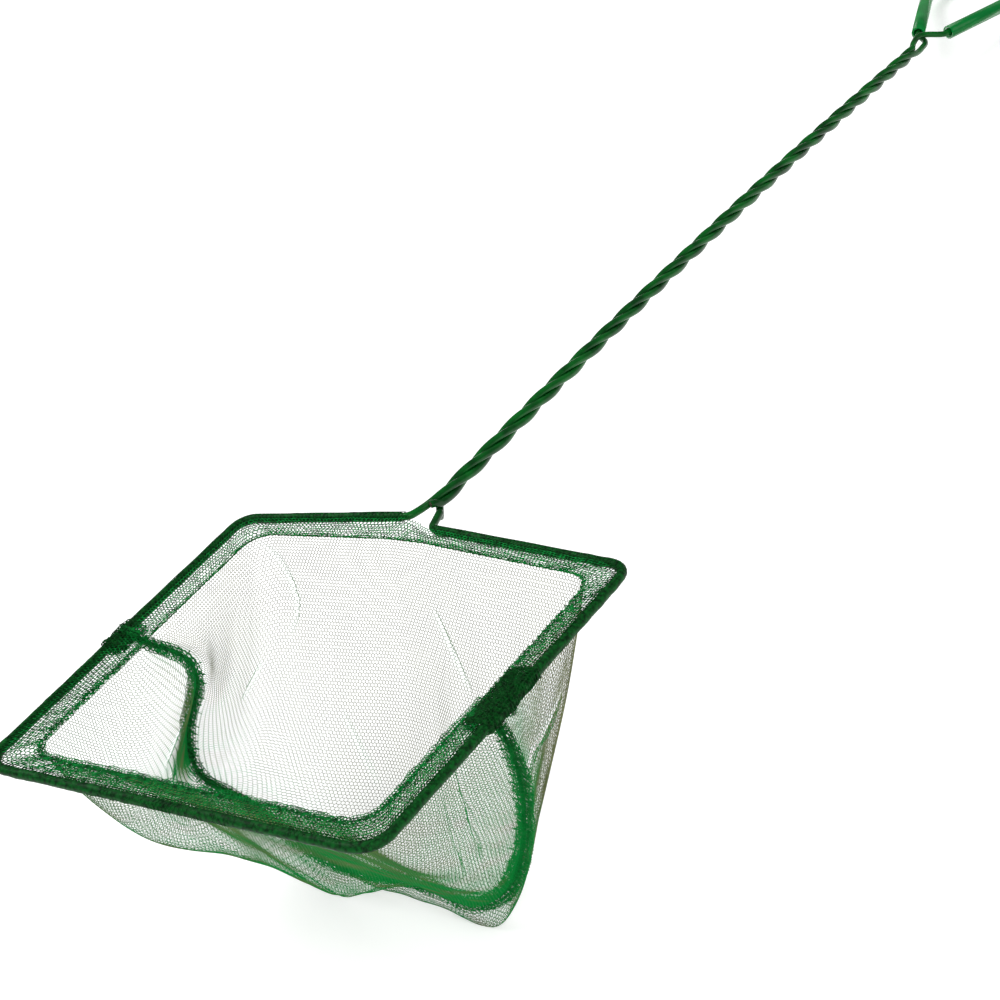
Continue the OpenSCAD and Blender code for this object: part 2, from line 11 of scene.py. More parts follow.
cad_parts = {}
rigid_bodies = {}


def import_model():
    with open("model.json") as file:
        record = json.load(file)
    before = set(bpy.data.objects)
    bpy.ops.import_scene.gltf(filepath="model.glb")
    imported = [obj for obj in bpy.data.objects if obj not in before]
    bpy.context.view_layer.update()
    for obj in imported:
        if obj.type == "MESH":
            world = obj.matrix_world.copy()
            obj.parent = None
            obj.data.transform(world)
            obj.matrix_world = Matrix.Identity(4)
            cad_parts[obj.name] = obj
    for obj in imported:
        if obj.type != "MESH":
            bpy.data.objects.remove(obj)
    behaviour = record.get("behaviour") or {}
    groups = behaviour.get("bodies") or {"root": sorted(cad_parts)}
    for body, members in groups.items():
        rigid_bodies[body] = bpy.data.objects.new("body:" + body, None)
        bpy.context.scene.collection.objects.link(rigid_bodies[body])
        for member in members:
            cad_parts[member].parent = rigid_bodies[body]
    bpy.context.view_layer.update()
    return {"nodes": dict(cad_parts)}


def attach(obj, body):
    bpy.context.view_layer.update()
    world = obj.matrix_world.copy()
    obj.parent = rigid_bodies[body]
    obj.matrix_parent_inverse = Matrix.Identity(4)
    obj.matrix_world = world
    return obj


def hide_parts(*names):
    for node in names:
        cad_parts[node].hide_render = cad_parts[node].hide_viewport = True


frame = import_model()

bl_info = {
    "name": "Aquarium fish net",
    "version": (1, 0, 0),
    "blender": (4, 5, 0),
    "location": "3D View > Sidebar > Fish net",
    "description": "Makes the wire, bag, hem, seam and sleeve of an aquarium fish net round its packed frame",
    "category": "Add Mesh",
}

MM = 0.001
NET = "net"
SLEEVE = "sleeve"

# Sizes in millimetres: u across the hoop, v from the neck to the loop, w square to the hoop
BACK_W, FRONT_W, DEPTH = 152.0, 146.0, 134.0
BACK_CORNER_R, FRONT_CORNER_R = 7, 9
NECK_RISE, NECK_SHIFT = 12.5, 9.0
WIRE, CORE, STRAND_GAP = 2.6, 1.8, 0.08
HANDLE, TURNS, DROOP, DROOP_START = 416.0, 9.01, 13.0, 50.0
LOOP_R, LOOP_FLAT, LOOP_BACK, LOOP_SHIFT = 24.0, 1.5, 14.0, 0.8
LOOP_HALF_ANGLE, LOOP_TURN = math.radians(18.5), math.radians(0.8)
SLEEVE_R, SLEEVE_BORE_R, SLEEVE_START = 3.0, 2.0, 23.0
BAG, HEM_W, BACK_HEM_W, HEM_DROP, HEM_OUT = 91.0, 9.5, 6, 1.0, 1.7
REST_SHARE = 0.10

# Places worked out from them
STRAND_R = (WIRE + STRAND_GAP) / math.sqrt(3)
SEAM_V = -NECK_RISE - DEPTH / 2
FRONT_V = -NECK_RISE - DEPTH
LOOP_POINT = np.array([-NECK_SHIFT - LOOP_SHIFT, HANDLE - LOOP_BACK])
PITCH = math.atan(2 * DROOP / (HANDLE - DROOP_START))
LOOP_W = -DROOP + LOOP_BACK * math.tan(PITCH)
CORNER_HALF = LOOP_R * math.tan(math.radians(45) + LOOP_HALF_ANGLE / 2) + LOOP_FLAT / 2
LOOP_REACH = CORNER_HALF / math.tan(LOOP_HALF_ANGLE)
CORNER_REACH = CORNER_HALF / math.sin(LOOP_HALF_ANGLE)
LOOP_LEN = (LOOP_REACH - LOOP_R) * math.cos(LOOP_TURN) + LOOP_R
LOOP_END_V = LOOP_POINT[1] + LOOP_LEN * math.cos(PITCH)
LOOP_END_W = LOOP_W - LOOP_LEN * math.sin(PITCH)

# The net lies on the bag's bottom and the loop's end, which gives its tilt, its height and its middle
REST_SPAN = LOOP_END_V - (SEAM_V + REST_SHARE * DEPTH)
REST_DROP = BAG + LOOP_END_W
TILT = math.acos(SLEEVE_R / math.hypot(REST_DROP, REST_SPAN)) - math.atan(REST_SPAN / REST_DROP)
RISE = LOOP_END_V * math.sin(TILT) - LOOP_END_W * math.cos(TILT) + SLEEVE_R
FRONT_END = FRONT_V * math.cos(TILT) - HEM_OUT
LOOP_END = LOOP_END_V * math.cos(TILT) + LOOP_END_W * math.sin(TILT) + SLEEVE_R
MIDDLE = (FRONT_END + LOOP_END) / 2


def placed(points):
    """Points of the net's own frame, in millimetres, as points of the part's frame in metres."""
    p = np.asarray(points, float)
    c, s = math.cos(TILT), math.sin(TILT)
    along = p[..., 1] * c + p[..., 2] * s - MIDDLE
    up = p[..., 2] * c - p[..., 1] * s + RISE
    return np.stack([p[..., 0], along, up], -1) * MM


def turned(direction):
    """A direction of the net's own frame in the part's frame."""
    u, v, w = direction
    c, s = math.cos(TILT), math.sin(TILT)
    return Vector((u, v * c + w * s, w * c - v * s))


def linear(hex_text, factor=1):
    """sRGB hex text, made darker or lighter by a factor, as the linear colour that a shader takes."""
    parts = [min(255, round(int(hex_text[i : i + 2], 16) * factor)) / 255 for i in (1, 3, 5)]
    return tuple(x / 12.92 if x <= 0.04045 else ((x + 0.055) / 1.055) ** 2.4 for x in parts) + (1.0,)


# Sizes and colours that a user would change


class NetSizes(bpy.types.PropertyGroup):
    thread: FloatProperty(
        name="Thread", description="Diameter of the mesh's thread", default=0.19 * MM, unit="LENGTH"
    )
    cell: FloatProperty(
        name="Mesh cell", description="Width of one cell of the mesh", default=1.25 * MM, unit="LENGTH"
    )
    seam_width: FloatProperty(
        name="Seam width", description="Width of the sewn seam", default=5.8 * MM, unit="LENGTH"
    )
    stitch: FloatProperty(
        name="Stitch", description="Length of one stitch of the hem", default=2.6 * MM, unit="LENGTH"
    )
    sides: IntProperty(name="Sides", description="Sides of a wire's round section", default=20)


class NetColours(bpy.types.PropertyGroup):
    coating: StringProperty(
        name="Wire coating", description="Colour of the wire's coating", default="#05561a"
    )
    mesh: StringProperty(name="Mesh thread", description="Colour of the bag's thread", default="#6c6f48")
    # On the seam this colour is also painted light, bright along its bottom
    gathered: StringProperty(
        name="Gathered thread",
        description="Colour of the bag's thread where it lies in layers",
        default="#00903c",
    )
    hem: StringProperty(name="Hem thread", description="Colour of the doubled edge", default="#06702f")
    seam: StringProperty(name="Seam thread", description="Colour of the sewn seam", default="#064c1e")
    wrap: StringProperty(
        name="Wrapped edge", description="Colour of the mesh drawn over the wire", default="#054316"
    )
    sleeve: StringProperty(name="Sleeve", description="Colour of the soft sleeve", default="#008a3a")
    steel: StringProperty(name="Cut steel", description="Colour of the wire's cut end", default="#8c7f70")


# Materials


def add(material, kind, inputs=None, **settings):
    """Adds a node with its settings; an input that is given a socket is linked to it."""
    node = material.node_tree.nodes.new(kind)
    for key, value in settings.items():
        setattr(node, key, value)
    for key, value in (inputs or {}).items():
        if isinstance(value, bpy.types.NodeSocket):
            material.node_tree.links.new(value, node.inputs[key])
        else:
            node.inputs[key].default_value = value
    return node


def new_material(name):
    material = bpy.data.materials.new(name)
    material.use_nodes = True
    material.node_tree.nodes.clear()
    return material


def finish(name, tone, low, high, patch_mm, bumps, look, detail=2.0, grain=None, gathered=None):
    """A material with two tones in patches, and bumps of a strength and a depth in millimetres.

    The bumps follow the patches, or a grain of its own size and detail. Gathered cloth has its own colour,
    which on the seam also stands for painted light.
    """
    m = new_material(name)
    place = add(m, "ShaderNodeTexCoord").outputs["Object"]
    drift = {"Vector": place, "Scale": 1 / (patch_mm * MM), "Detail": detail}
    height = add(m, "ShaderNodeTexNoise", drift).outputs[0]
    ramp = add(m, "ShaderNodeValToRGB", {"Fac": height})
    for element, at, factor in zip(ramp.color_ramp.elements, (0.35, 0.65), (low, high)):
        element.position = at
        element.color = linear(tone, factor)
    base = ramp.outputs[0]
    if gathered:
        amount = add(m, "ShaderNodeAttribute", attribute_name="gathered").outputs["Fac"]
        mixed = {"Fac": amount, "Color1": base, "Color2": linear(gathered)}
        base = add(m, "ShaderNodeMixRGB", mixed).outputs[0]
    if grain:
        fine = {"Vector": place, "Scale": 1 / (grain[0] * MM), "Detail": grain[1]}
        height = add(m, "ShaderNodeTexNoise", fine).outputs[0]
    bump = add(m, "ShaderNodeBump", {"Height": height, "Strength": bumps[0], "Distance": bumps[1] * MM})
    shader = add(m, "ShaderNodeBsdfPrincipled", {"Base Color": base, "Normal": bump.outputs[0], **look})
    add(m, "ShaderNodeOutputMaterial", {"Surface": shader.outputs[0]})
    return m


def vinyl_coating(tone):
    # Dipped vinyl on steel wire: dark, evenly glossy, with slight flow waves that break up the highlight
    look = {"Roughness": 0.24, "IOR": 1.5, "Specular IOR Level": 0.2}
    return finish("vinyl_coating", tone, 0.72, 1.15, 9, (0.25, 0.05), look, grain=(1.6, 3.0))


def cut_steel(tone):
    # Sheared steel wire end: dull, brownish, with fine drag marks
    return finish("cut_steel", tone, 0.7, 1, 0.5, (0.5, 0.05), {"Metallic": 0.9, "Roughness": 0.42})


def soft_vinyl(tone):
    # Extruded soft vinyl tube: see-through green with a wet gloss and faint draw lines
    look = {"Roughness": 0.2, "IOR": 1.5, "Specular IOR Level": 0.18, "Transmission Weight": 0.2}
    return finish("soft_vinyl", tone, 0.9, 1.1, 14, (0.1, 0.2), look)


def nylon(name, tone, spread, patch_mm, roughness=0.45, gathered=None):
    # Knitted nylon thread: a soft sheen, with tones that drift along the yarn, greener where it is gathered;
    # on the seam the same mix paints light along the bottom and shade on the steep stretches.
    # Its fibres' grain of 0.12 mm is coarser than real filaments, so that it shows
    look = {"Roughness": roughness, "Specular IOR Level": 0.12}
    return finish(name, tone, 1 - spread, 1 + spread, patch_mm, (0.3, 0.03), look, 4.0, (0.12, 1.0), gathered)


def paper_floor():
    # Matt white paper sweep: shows as white and keeps the soft shadow
    m = new_material("paper_floor")
    path = add(m, "ShaderNodeLightPath").outputs
    seen = path["Is Camera Ray"]
    for ray in ("Is Glossy Ray", "Is Transmission Ray"):
        seen = add(m, "ShaderNodeMath", {0: seen, 1: path[ray]}, operation="MAXIMUM").outputs[0]
    lift = add(m, "ShaderNodeMath", {0: seen, 1: 0.36}, operation="MULTIPLY")
    paper = add(m, "ShaderNodeBsdfDiffuse", {"Color": (0.9, 0.9, 0.9, 1.0)})
    glow = add(m, "ShaderNodeEmission", {"Color": (1, 1, 1, 1), "Strength": lift.outputs[0]})
    both = add(m, "ShaderNodeAddShader", {0: paper.outputs[0], 1: glow.outputs[0]})
    add(m, "ShaderNodeOutputMaterial", {"Surface": both.outputs[0]})
    return m


def material(name):
    """The finish of that name, made on first use."""
    if name in bpy.data.materials:
        return bpy.data.materials[name]
    c = bpy.context.scene.net_colours
    return {
        "vinyl_coating": lambda: vinyl_coating(c.coating),
        "cut_steel": lambda: cut_steel(c.steel),
        "soft_vinyl": lambda: soft_vinyl(c.sleeve),
        "nylon_mesh": lambda: nylon("nylon_mesh", c.mesh, 0.12, 11, 0.6, c.gathered),
        "nylon_hem": lambda: nylon("nylon_hem", c.hem, 0.4, 1.6, 0.6),
        "nylon_seam": lambda: nylon("nylon_seam", c.seam, 0.75, 1.3, 0.55, c.gathered),
        "nylon_wrap": lambda: nylon("nylon_wrap", c.wrap, 0.35, 1.2),
        "paper_floor": paper_floor,
    }[name]()


# Meshes and the tree that turns edges into threads


def sweep_tree():
    """Turns the edges of a mesh into round threads or wires of one radius."""
    name = "swept_threads"
    if name in bpy.data.node_groups:
        return bpy.data.node_groups[name]
    tree = bpy.data.node_groups.new(name, "GeometryNodeTree")
    inputs = {"Geometry": "Geometry", "Radius": "Float", "Sides": "Int", "Caps": "Bool"}
    inputs["Material"] = "Material"
    for label, kind in inputs.items():
        tree.interface.new_socket(label, in_out="INPUT", socket_type="NodeSocket" + kind)
    tree.interface.new_socket("Geometry", in_out="OUTPUT", socket_type="NodeSocketGeometry")
    kinds = ["MeshToCurve", "CurvePrimitiveCircle", "CurveToMesh"]
    kinds += ["SetShadeSmooth", "RealizeInstances", "SetMaterial"]
    curve, profile, sweep, smooth, real, paint = [tree.nodes.new("GeometryNode" + kind) for kind in kinds]
    first, last = tree.nodes.new("NodeGroupInput"), tree.nodes.new("NodeGroupOutput")
    chain = (first, curve, sweep, smooth, real, paint, last)
    for start, end in zip(chain, chain[1:]):
        tree.links.new(start.outputs[0], end.inputs[0])
    for label, end, into in (
        ("Radius", profile, "Radius"), ("Sides", profile, "Resolution"),
        ("Caps", sweep, "Fill Caps"), ("Material", paint, "Material"),
    ):
        tree.links.new(first.outputs[label], end.inputs[into])
    tree.links.new(profile.outputs["Curve"], sweep.inputs["Profile Curve"])
    return tree


def settle(obj, tree, values):
    """Runs a tree on an object and leaves the plain mesh that it makes."""
    modifier = obj.modifiers.new(tree.name, "NODES")
    modifier.node_group = tree
    for item in tree.interface.items_tree:
        if item.in_out == "INPUT" and item.name in values:
            modifier[item.identifier] = values[item.name]
    obj.data.update()
    bpy.context.view_layer.update()
    ready = obj.evaluated_get(bpy.context.evaluated_depsgraph_get())
    mesh = bpy.data.meshes.new_from_object(ready)
    obj.modifiers.clear()
    old, obj.data = obj.data, mesh
    bpy.data.meshes.remove(old)
    mesh.name = obj.name
    if not mesh.polygons:
        raise RuntimeError(f"{obj.name} came out empty")
    return obj


def linked(name, mesh):
    obj = bpy.data.objects.new(name, mesh)
    bpy.context.scene.collection.objects.link(obj)
    return obj


def gather_values(mesh, values):
    """Stores how gathered the cloth is at each point, for its material; on the seam it stores painted light
    and shade.
    """
    layer = mesh.attributes.new("gathered", "FLOAT", "POINT")
    layer.data.foreach_set("value", np.asarray(values, np.float32))


def mesh_object(name, points, faces, coat):
    mesh = bpy.data.meshes.new(name)
    mesh.from_pydata([tuple(p) for p in points], [], [tuple(f) for f in faces])
    mesh.update()
    mesh.polygons.foreach_set("use_smooth", [True] * len(mesh.polygons))
    mesh.materials.append(material(coat))
    return linked(name, mesh)


def threads(name, points, edges, radius_mm, coat, sides=3, caps=False, gathered=None):
    """Threads along the edges of a mesh given in millimetres of the net's frame."""
    used = np.unique(edges)
    index = np.full(len(points), -1)
    index[used] = np.arange(len(used))
    mesh = bpy.data.meshes.new(name)
    mesh.vertices.add(len(used))
    mesh.vertices.foreach_set("co", placed(points[used]).astype(np.float32).ravel())
    mesh.edges.add(len(edges))
    mesh.edges.foreach_set("vertices", index[edges].astype(np.int32).ravel())
    if gathered is not None:
        gather_values(mesh, gathered[used])
    values = {"Radius": radius_mm * MM, "Sides": sides, "Caps": caps, "Material": material(coat)}
    return settle(linked(name, mesh), sweep_tree(), values)


def wire(name, path, radius_mm, coat, sides, gathered=None):
    """A round wire along one open path, with closed ends."""
    n = len(path)
    edges = np.stack([np.arange(n - 1), np.arange(1, n)], 1)
    return threads(name, path, edges, radius_mm, coat, sides, True, gathered)


def declare(obj, body, *nodes, slot):
    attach(obj, body)
    if nodes:
        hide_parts(*nodes)
    return obj


# Paths and sections


def unit(p):
    return p / np.linalg.norm(p, axis=-1, keepdims=True)


def solid(path, w=0.0):
    """A flat path as a path in space at one height."""
    return np.column_stack([path, np.full(len(path), w)])


def lengths(path):
    """How far along a path each of its points lies."""
    return np.concatenate([[0], np.cumsum(np.linalg.norm(np.diff(path, axis=0), axis=1))])


def at_shares(path, shares):
    """Points at shares of a path's length."""
    path = np.asarray(path, float)
    run = lengths(path)
    at = np.clip(shares, 0, 1) * run[-1]
    return np.stack([np.interp(at, run, path[:, k]) for k in range(path.shape[1])], -1)


def even_interp(shares, values):
    """A value at shares of the way, from values at even stations."""
    return np.interp(shares, np.linspace(0, 1, len(values)), values)


def smoothed(path, count, passes):
    """A path through nearly the given points with its corners eased."""
    p = at_shares(path, np.linspace(0, 1, count))
    for _ in range(passes):
        q = p.copy()
        q[1:-1] = 0.25 * p[:-2] + 0.5 * p[1:-1] + 0.25 * p[2:]
        p = q
    return p


def rounded(path, radii, steps=10):
    """A flat path with its corners bent to circular arcs."""
    path = [np.asarray(p, float) for p in path]
    out = []
    for i, p in enumerate(path):
        if radii[i] == 0:
            out.append(p)
            continue
        a, b = unit(path[i - 1] - p), unit(path[i + 1] - p)
        half = math.acos(np.clip(a @ b, -1, 1)) / 2
        reach = radii[i] / math.tan(half)
        centre = p + unit(a + b) * radii[i] / math.sin(half)
        first, last = p + a * reach - centre, p + b * reach - centre
        angle = math.acos(np.clip(first @ last / radii[i] ** 2, -1, 1))
        for t in np.arange(steps + 1) / steps:
            swung = math.sin((1 - t) * angle) * first + math.sin(t * angle) * last
            out.append(centre + swung / math.sin(angle))
    return np.array(out)


def bezier(a, b, c, d, t):
    t = np.asarray(t)[..., None]
    return (1 - t) ** 3 * a + 3 * t * (1 - t) ** 2 * b + 3 * t * t * (1 - t) * c + t**3 * d


def eased(a, a_way, b, b_way, steps=14):
    pull = np.linalg.norm(b - a) / 3
    return bezier(a, a + a_way * pull, b - b_way * pull, b, np.linspace(0, 1, steps))


def through(points, first, last):
    """A smooth path through points, with the given ways at its two ends."""
    out = [points[0][None]]
    for i in range(len(points) - 1):
        a = first if i == 0 else unit(points[i + 1] - points[i - 1])
        b = last if i == len(points) - 2 else unit(points[i + 2] - points[i])
        out.append(eased(points[i], a, points[i + 1], b)[1:])
    return np.vstack(out)


def waves(seed, count, low_mm, high_mm):
    """A smooth random field over two lengths in millimetres, between about -1 and 1."""
    rng = np.random.default_rng(seed)
    size = rng.uniform(low_mm, high_mm, count)
    angle = rng.uniform(0, math.pi, count)
    start = rng.uniform(0, 2 * math.pi, count)

    def field(x, y):
        total = 0
        for s, a, p in zip(size, angle, start):
            total = total + np.sin((x * math.cos(a) + y * math.sin(a)) * 2 * math.pi / s + p)
        return total / math.sqrt(count)

    return field


def angles(sides):
    return np.linspace(0, 2 * math.pi, sides, endpoint=False)


def rings(path, normal, wide, tall):
    """Points of oval rings round a path, wide across it and tall square to that."""
    way = unit(np.gradient(path, axis=0))
    across = unit(np.cross(way, normal))
    over = np.cross(across, way)
    angle = angles(wide.shape[1])
    wide, tall = np.cos(angle) * wide, np.sin(angle) * tall
    out = across[:, None] * wide[..., None] + over[:, None] * tall[..., None]
    return (path[:, None] + out).reshape(-1, 3)


def stations(line, step, sides):
    """Even points of a line, and how far along and at what angle each point of a tube round it lies."""
    run = lengths(line)[-1]
    count = max(8, int(run / step))
    along, around = np.linspace(0, run, count)[:, None], angles(sides)[None, :]
    return at_shares(line, np.linspace(0, 1, count)), along, around


def ring_faces(count, sides):
    """Faces between neighbouring rings, pointing outwards."""
    i, k = np.meshgrid(np.arange(count - 1), np.arange(sides), indexing="ij")
    a, b = i * sides + k, i * sides + (k + 1) % sides
    return np.stack([a, b, b + sides, a + sides], -1).reshape(-1, 4).tolist()


def closed_faces(count, sides):
    """Faces of a closed tube: the rings' faces and one at each end."""
    return ring_faces(count, sides) + [range(sides - 1, -1, -1), range((count - 1) * sides, count * sides)]


# Wire frame

# Middle of the wire where the hoop's two ends turn up to the handle
NECK_LEFT = np.array([-NECK_SHIFT - 5.5, -0.5])
NECK_RIGHT = np.array([-NECK_SHIFT + 7.0, -5.9])

# Where the two strands leave the neck: how far they have leaned in, and how far along the handle
LEFT_LEAN, RIGHT_LEAN, STRAND_START = 1.3, 2.6, 3.0

# Points at the neck, from the handle's line: the tail's cut end and its way, and the right strand's bend
TAIL_END, TAIL_WAY, RIGHT_BEND = (0.7, 4.4, 2.2), (2.2, 4.4, 0.0), (1.6, 6.2, -3.4)

# Angle in degrees of each strand in the twist, and how far along the handle it joins the twist
LEFT_TWIST, RIGHT_TWIST, TAIL_TWIST = (261, 10), (141, 12), (21, 9)

# Points by the loop: across from the handle's line, back from the handle's end and off its plane
LEFT_CROSSING = ((0.4, 9, -1.3), (-2, 0, -1.6))
TAIL_CROSSING = ((-3.6, 8, 1.0), (-3.4, 0, 1.6))

# How far before the handle's end the twist ends, where the loop's legs are met, and how the turns tighten
TWIST_END, LEG_START, POINTS_PER_TURN, TIGHTENING = 17.0, 22.0, 28, 0.07


def phase(v, first):
    x = v / HANDLE
    return np.radians(first) + 2 * math.pi * TURNS * ((1 - TIGHTENING) * x + TIGHTENING * x * x)


def droop(v):
    return -DROOP * (np.maximum(0, v - DROOP_START) / (HANDLE - DROOP_START)) ** 2


def helix(v, first):
    v = np.asarray(v, float)
    turn = phase(v, first)
    return np.stack([-NECK_SHIFT + STRAND_R * np.sin(turn), v, droop(v) + STRAND_R * np.cos(turn)], -1)


def helix_slope(v, first):
    return unit(helix(v + WIRE, first) - helix(v - WIRE, first))


def loop_to_net(p):
    """Points of the loop's own plane in the net's frame."""
    along = p[..., 1] - LOOP_POINT[1]
    v, w = LOOP_POINT[1] + along * math.cos(PITCH), LOOP_W - along * math.sin(PITCH)
    return np.stack([p[..., 0], v, w], -1)


def leg(side, reach):
    angle = side * LOOP_HALF_ANGLE - LOOP_TURN
    return LOOP_POINT + reach * np.array([math.sin(angle), math.cos(angle)])


def strand(chain, way, twist, crossing=(), side=0):
    """Middle line of a strand, from the neck through the twist and, past a crossing, to the loop's leg."""
    (first, start), top = twist, HANDLE - TWIST_END
    run = through(chain + [helix(start, first)], way, helix_slope(start, first))[:-1]
    path = [run, helix(np.linspace(start, top, int(TURNS * POINTS_PER_TURN)), first)]
    if crossing:
        last = [helix(top, first)]
        for across, back, off in crossing:
            v = HANDLE - back
            last.append(np.array([-NECK_SHIFT + across, v, droop(v) + off]))
        last.append(loop_to_net(leg(side, LEG_START)))
        end_way = unit(loop_to_net(leg(side, 2 * LEG_START)) - last[-1])
        path.append(through(last, helix_slope(top, first), end_way)[1:])
    return np.vstack(path)


def strand_paths():
    """Middle lines of the three strands."""
    left = np.array([NECK_LEFT[0] + LEFT_LEAN, STRAND_START, 0])
    right = np.array([NECK_RIGHT[0] - RIGHT_LEAN, STRAND_START, 0])
    tail, bend = [np.array(p) - [NECK_SHIFT, 0, 0] for p in (TAIL_END, RIGHT_BEND)]
    return {
        "left": strand([left], unit(left - np.append(NECK_LEFT, 0)), LEFT_TWIST, LEFT_CROSSING, -1),
        "right": strand([right, bend], unit(right - np.append(NECK_RIGHT, 0)), RIGHT_TWIST),
        "tail": strand([tail], unit(np.array(TAIL_WAY)), TAIL_TWIST, TAIL_CROSSING, 1),
    }


class NET_OT_strands(bpy.types.Operator):
    """Makes the three twisted strands of the handle, with the cut end at the neck"""

    bl_idname = "fishnet.strands"
    bl_label = "Handle strands"

    def execute(self, context):
        sides = context.scene.net_sizes.sides
        stub_out, stub_in, core_sides = 0.12, 2.0, 8
        for key, path in strand_paths().items():
            coat = wire(f"{key}_strand", path, WIRE / 2, "vinyl_coating", sides)
            declare(coat, NET, f"{key}_strand_coating", slot="wire_coating")
            if key == "tail":
                way = unit(path[1] - path[0])
                ends = np.array([path[0] - way * stub_out, path[0] + way * stub_in])
                stub = wire("tail_cut_end", ends, CORE / 2, "cut_steel", sides)
                declare(stub, NET, "tail_strand_core", slot="wire_core")
            else:
                core = wire(f"{key}_strand_steel", path[::3], CORE / 2, "cut_steel", core_sides)
                declare(core, NET, f"{key}_strand_core", slot="wire_core")
        return {"FINISHED"}


class NET_OT_sleeve(bpy.types.Operator):
    """Makes the soft sleeve on the hanging loop"""

    bl_idname = "fishnet.sleeve"
    bl_label = "Loop sleeve"

    def execute(self, context):
        sides, steps = 40, 40
        corners = [leg(-1, SLEEVE_START), leg(-1, CORNER_REACH), leg(1, CORNER_REACH), leg(1, SLEEVE_START)]
        path = loop_to_net(rounded(corners, [0, LOOP_R, LOOP_R, 0], steps))
        count = 2 * len(path)
        skin = []
        for r, order in ((SLEEVE_R, 1), (SLEEVE_BORE_R, -1)):
            size = np.full((len(path), sides), r)
            skin.append(rings(path, [0, 0, 1.0], size, size).reshape(-1, sides, 3)[::order])
        points = np.vstack(skin).reshape(-1, 3)
        faces = (np.array(ring_faces(count + 1, sides)) % (count * sides)).tolist()
        sleeve = mesh_object("loop_sleeve", placed(points), faces, "soft_vinyl")
        declare(sleeve, SLEEVE, "grip_sleeve", slot="sleeve_vinyl")
        return {"FINISHED"}


class NET_OT_frame_finish(bpy.types.Operator):
    """Gives the hoop's and the loop's own wire their finish"""

    bl_idname = "fishnet.frame_finish"
    bl_label = "Hoop and loop finish"

    def execute(self, context):
        for node in ("hoop_coating", "hoop_core", "loop_coating", "loop_core", "tail_strand_core"):
            finishes = frame["nodes"][node].data.materials
            finishes.clear()
            finishes.append(material("cut_steel" if node.endswith("core") else "vinyl_coating"))
        return {"FINISHED"}


# Bag

SIDE_U = FRONT_W / 2 + (BACK_W - FRONT_W) / 4
HEM_SIDE_U = SIDE_U - HEM_W
HEM_CORNER_R = 9


def half_hoop(side, corner, radius, middle=()):
    """A flat line from the left tack to the right one, round two corners and through points between them."""
    u, v = corner
    path = [(-side, SEAM_V), (-u, v), *middle, (u, v), (side, SEAM_V)]
    return rounded(path, [0, radius] + [0] * len(middle) + [radius, 0])


# Middle line of the wire in front of the two tacks and behind them, and the line of the hem's stitches
FRONT_WIRE = half_hoop(SIDE_U, (FRONT_W / 2, FRONT_V), FRONT_CORNER_R)
BACK_WIRE = half_hoop(SIDE_U, (BACK_W / 2, -NECK_RISE), BACK_CORNER_R, [NECK_LEFT, NECK_RIGHT])
FRONT_HEM = half_hoop(HEM_SIDE_U, (FRONT_W / 2 - HEM_W, FRONT_V + HEM_W), HEM_CORNER_R)
HEM_NECK = [(neck[0], NECK_RIGHT[1] - BACK_HEM_W) for neck in (NECK_LEFT, NECK_RIGHT)]
BACK_HEM = half_hoop(HEM_SIDE_U, (BACK_W / 2 - HEM_W, -NECK_RISE - BACK_HEM_W), HEM_CORNER_R, HEM_NECK)

# Route of the seam: shares of half the back width, half the depth behind the middle, and the bag's depth
SEAM_SHARES = [
    (-0.86, 0, -0.02), (-0.76, 0, -0.035), (-0.66, 0, -0.035), (-0.6, 0, -0.1), (-0.66, 0, -0.2),
    (-0.74, -0.03, -0.31), (-0.8, -0.05, -0.45), (-0.81, -0.06, -0.56), (-0.74, -0.05, -0.605),
    (-0.6, -0.02, -0.67),
    (-0.4, 0, -0.84), (-0.29, 0, -0.89), (-0.14, 0, -0.915), (0.12, 0, -0.895), (0.3, 0, -0.9),
    (0.39, 0, -0.945), (0.48, 0, -0.95), (0.6, 0, -0.89), (0.71, 0, -0.8), (0.83, 0, -0.61),
    (0.9, 0, -0.41), (0.92, 0, -0.25), (0.905, 0, -0.13), (0.85, 0, -0.06),
]
SEAM = smoothed([(a * BACK_W / 2, SEAM_V + b * DEPTH / 2, c * BAG) for a, b, c in SEAM_SHARES], 240, 24)

# Pulls that shape the cloth at even stations from the left tack to the right one, as shares of
# the way from hem to seam: out and down below the hem, then right, out and down at the seam
FRONT_PULLS = [
    (0, 0.55, 0, 0.5, 0.35), (-0.15, 0.5, 0.1, 0.45, 0.4), (-0.3, 0.4, 0.2, 0.1, 0.3),
    (-0.2, 0.35, 0.05, -0.02, 0.04), (-0.1, 0.4, 0, 0.06, 0), (0, 0.4, -0.05, 0.3, 0),
]
BACK_PULLS = [
    (0, 0.45, 0, 0.35, 0.1), (0, 0.4, 0.1, 0.2, 0.25), (-0.05, 0.35, 0.2, 0.04, 0.36),
    (-0.05, 0.2, 0.2, -0.16, 0.34), (-0.1, 0.15, 0, -0.12, 0.22), (-0.05, 0.15, -0.1, 0.2, 0.05),
]

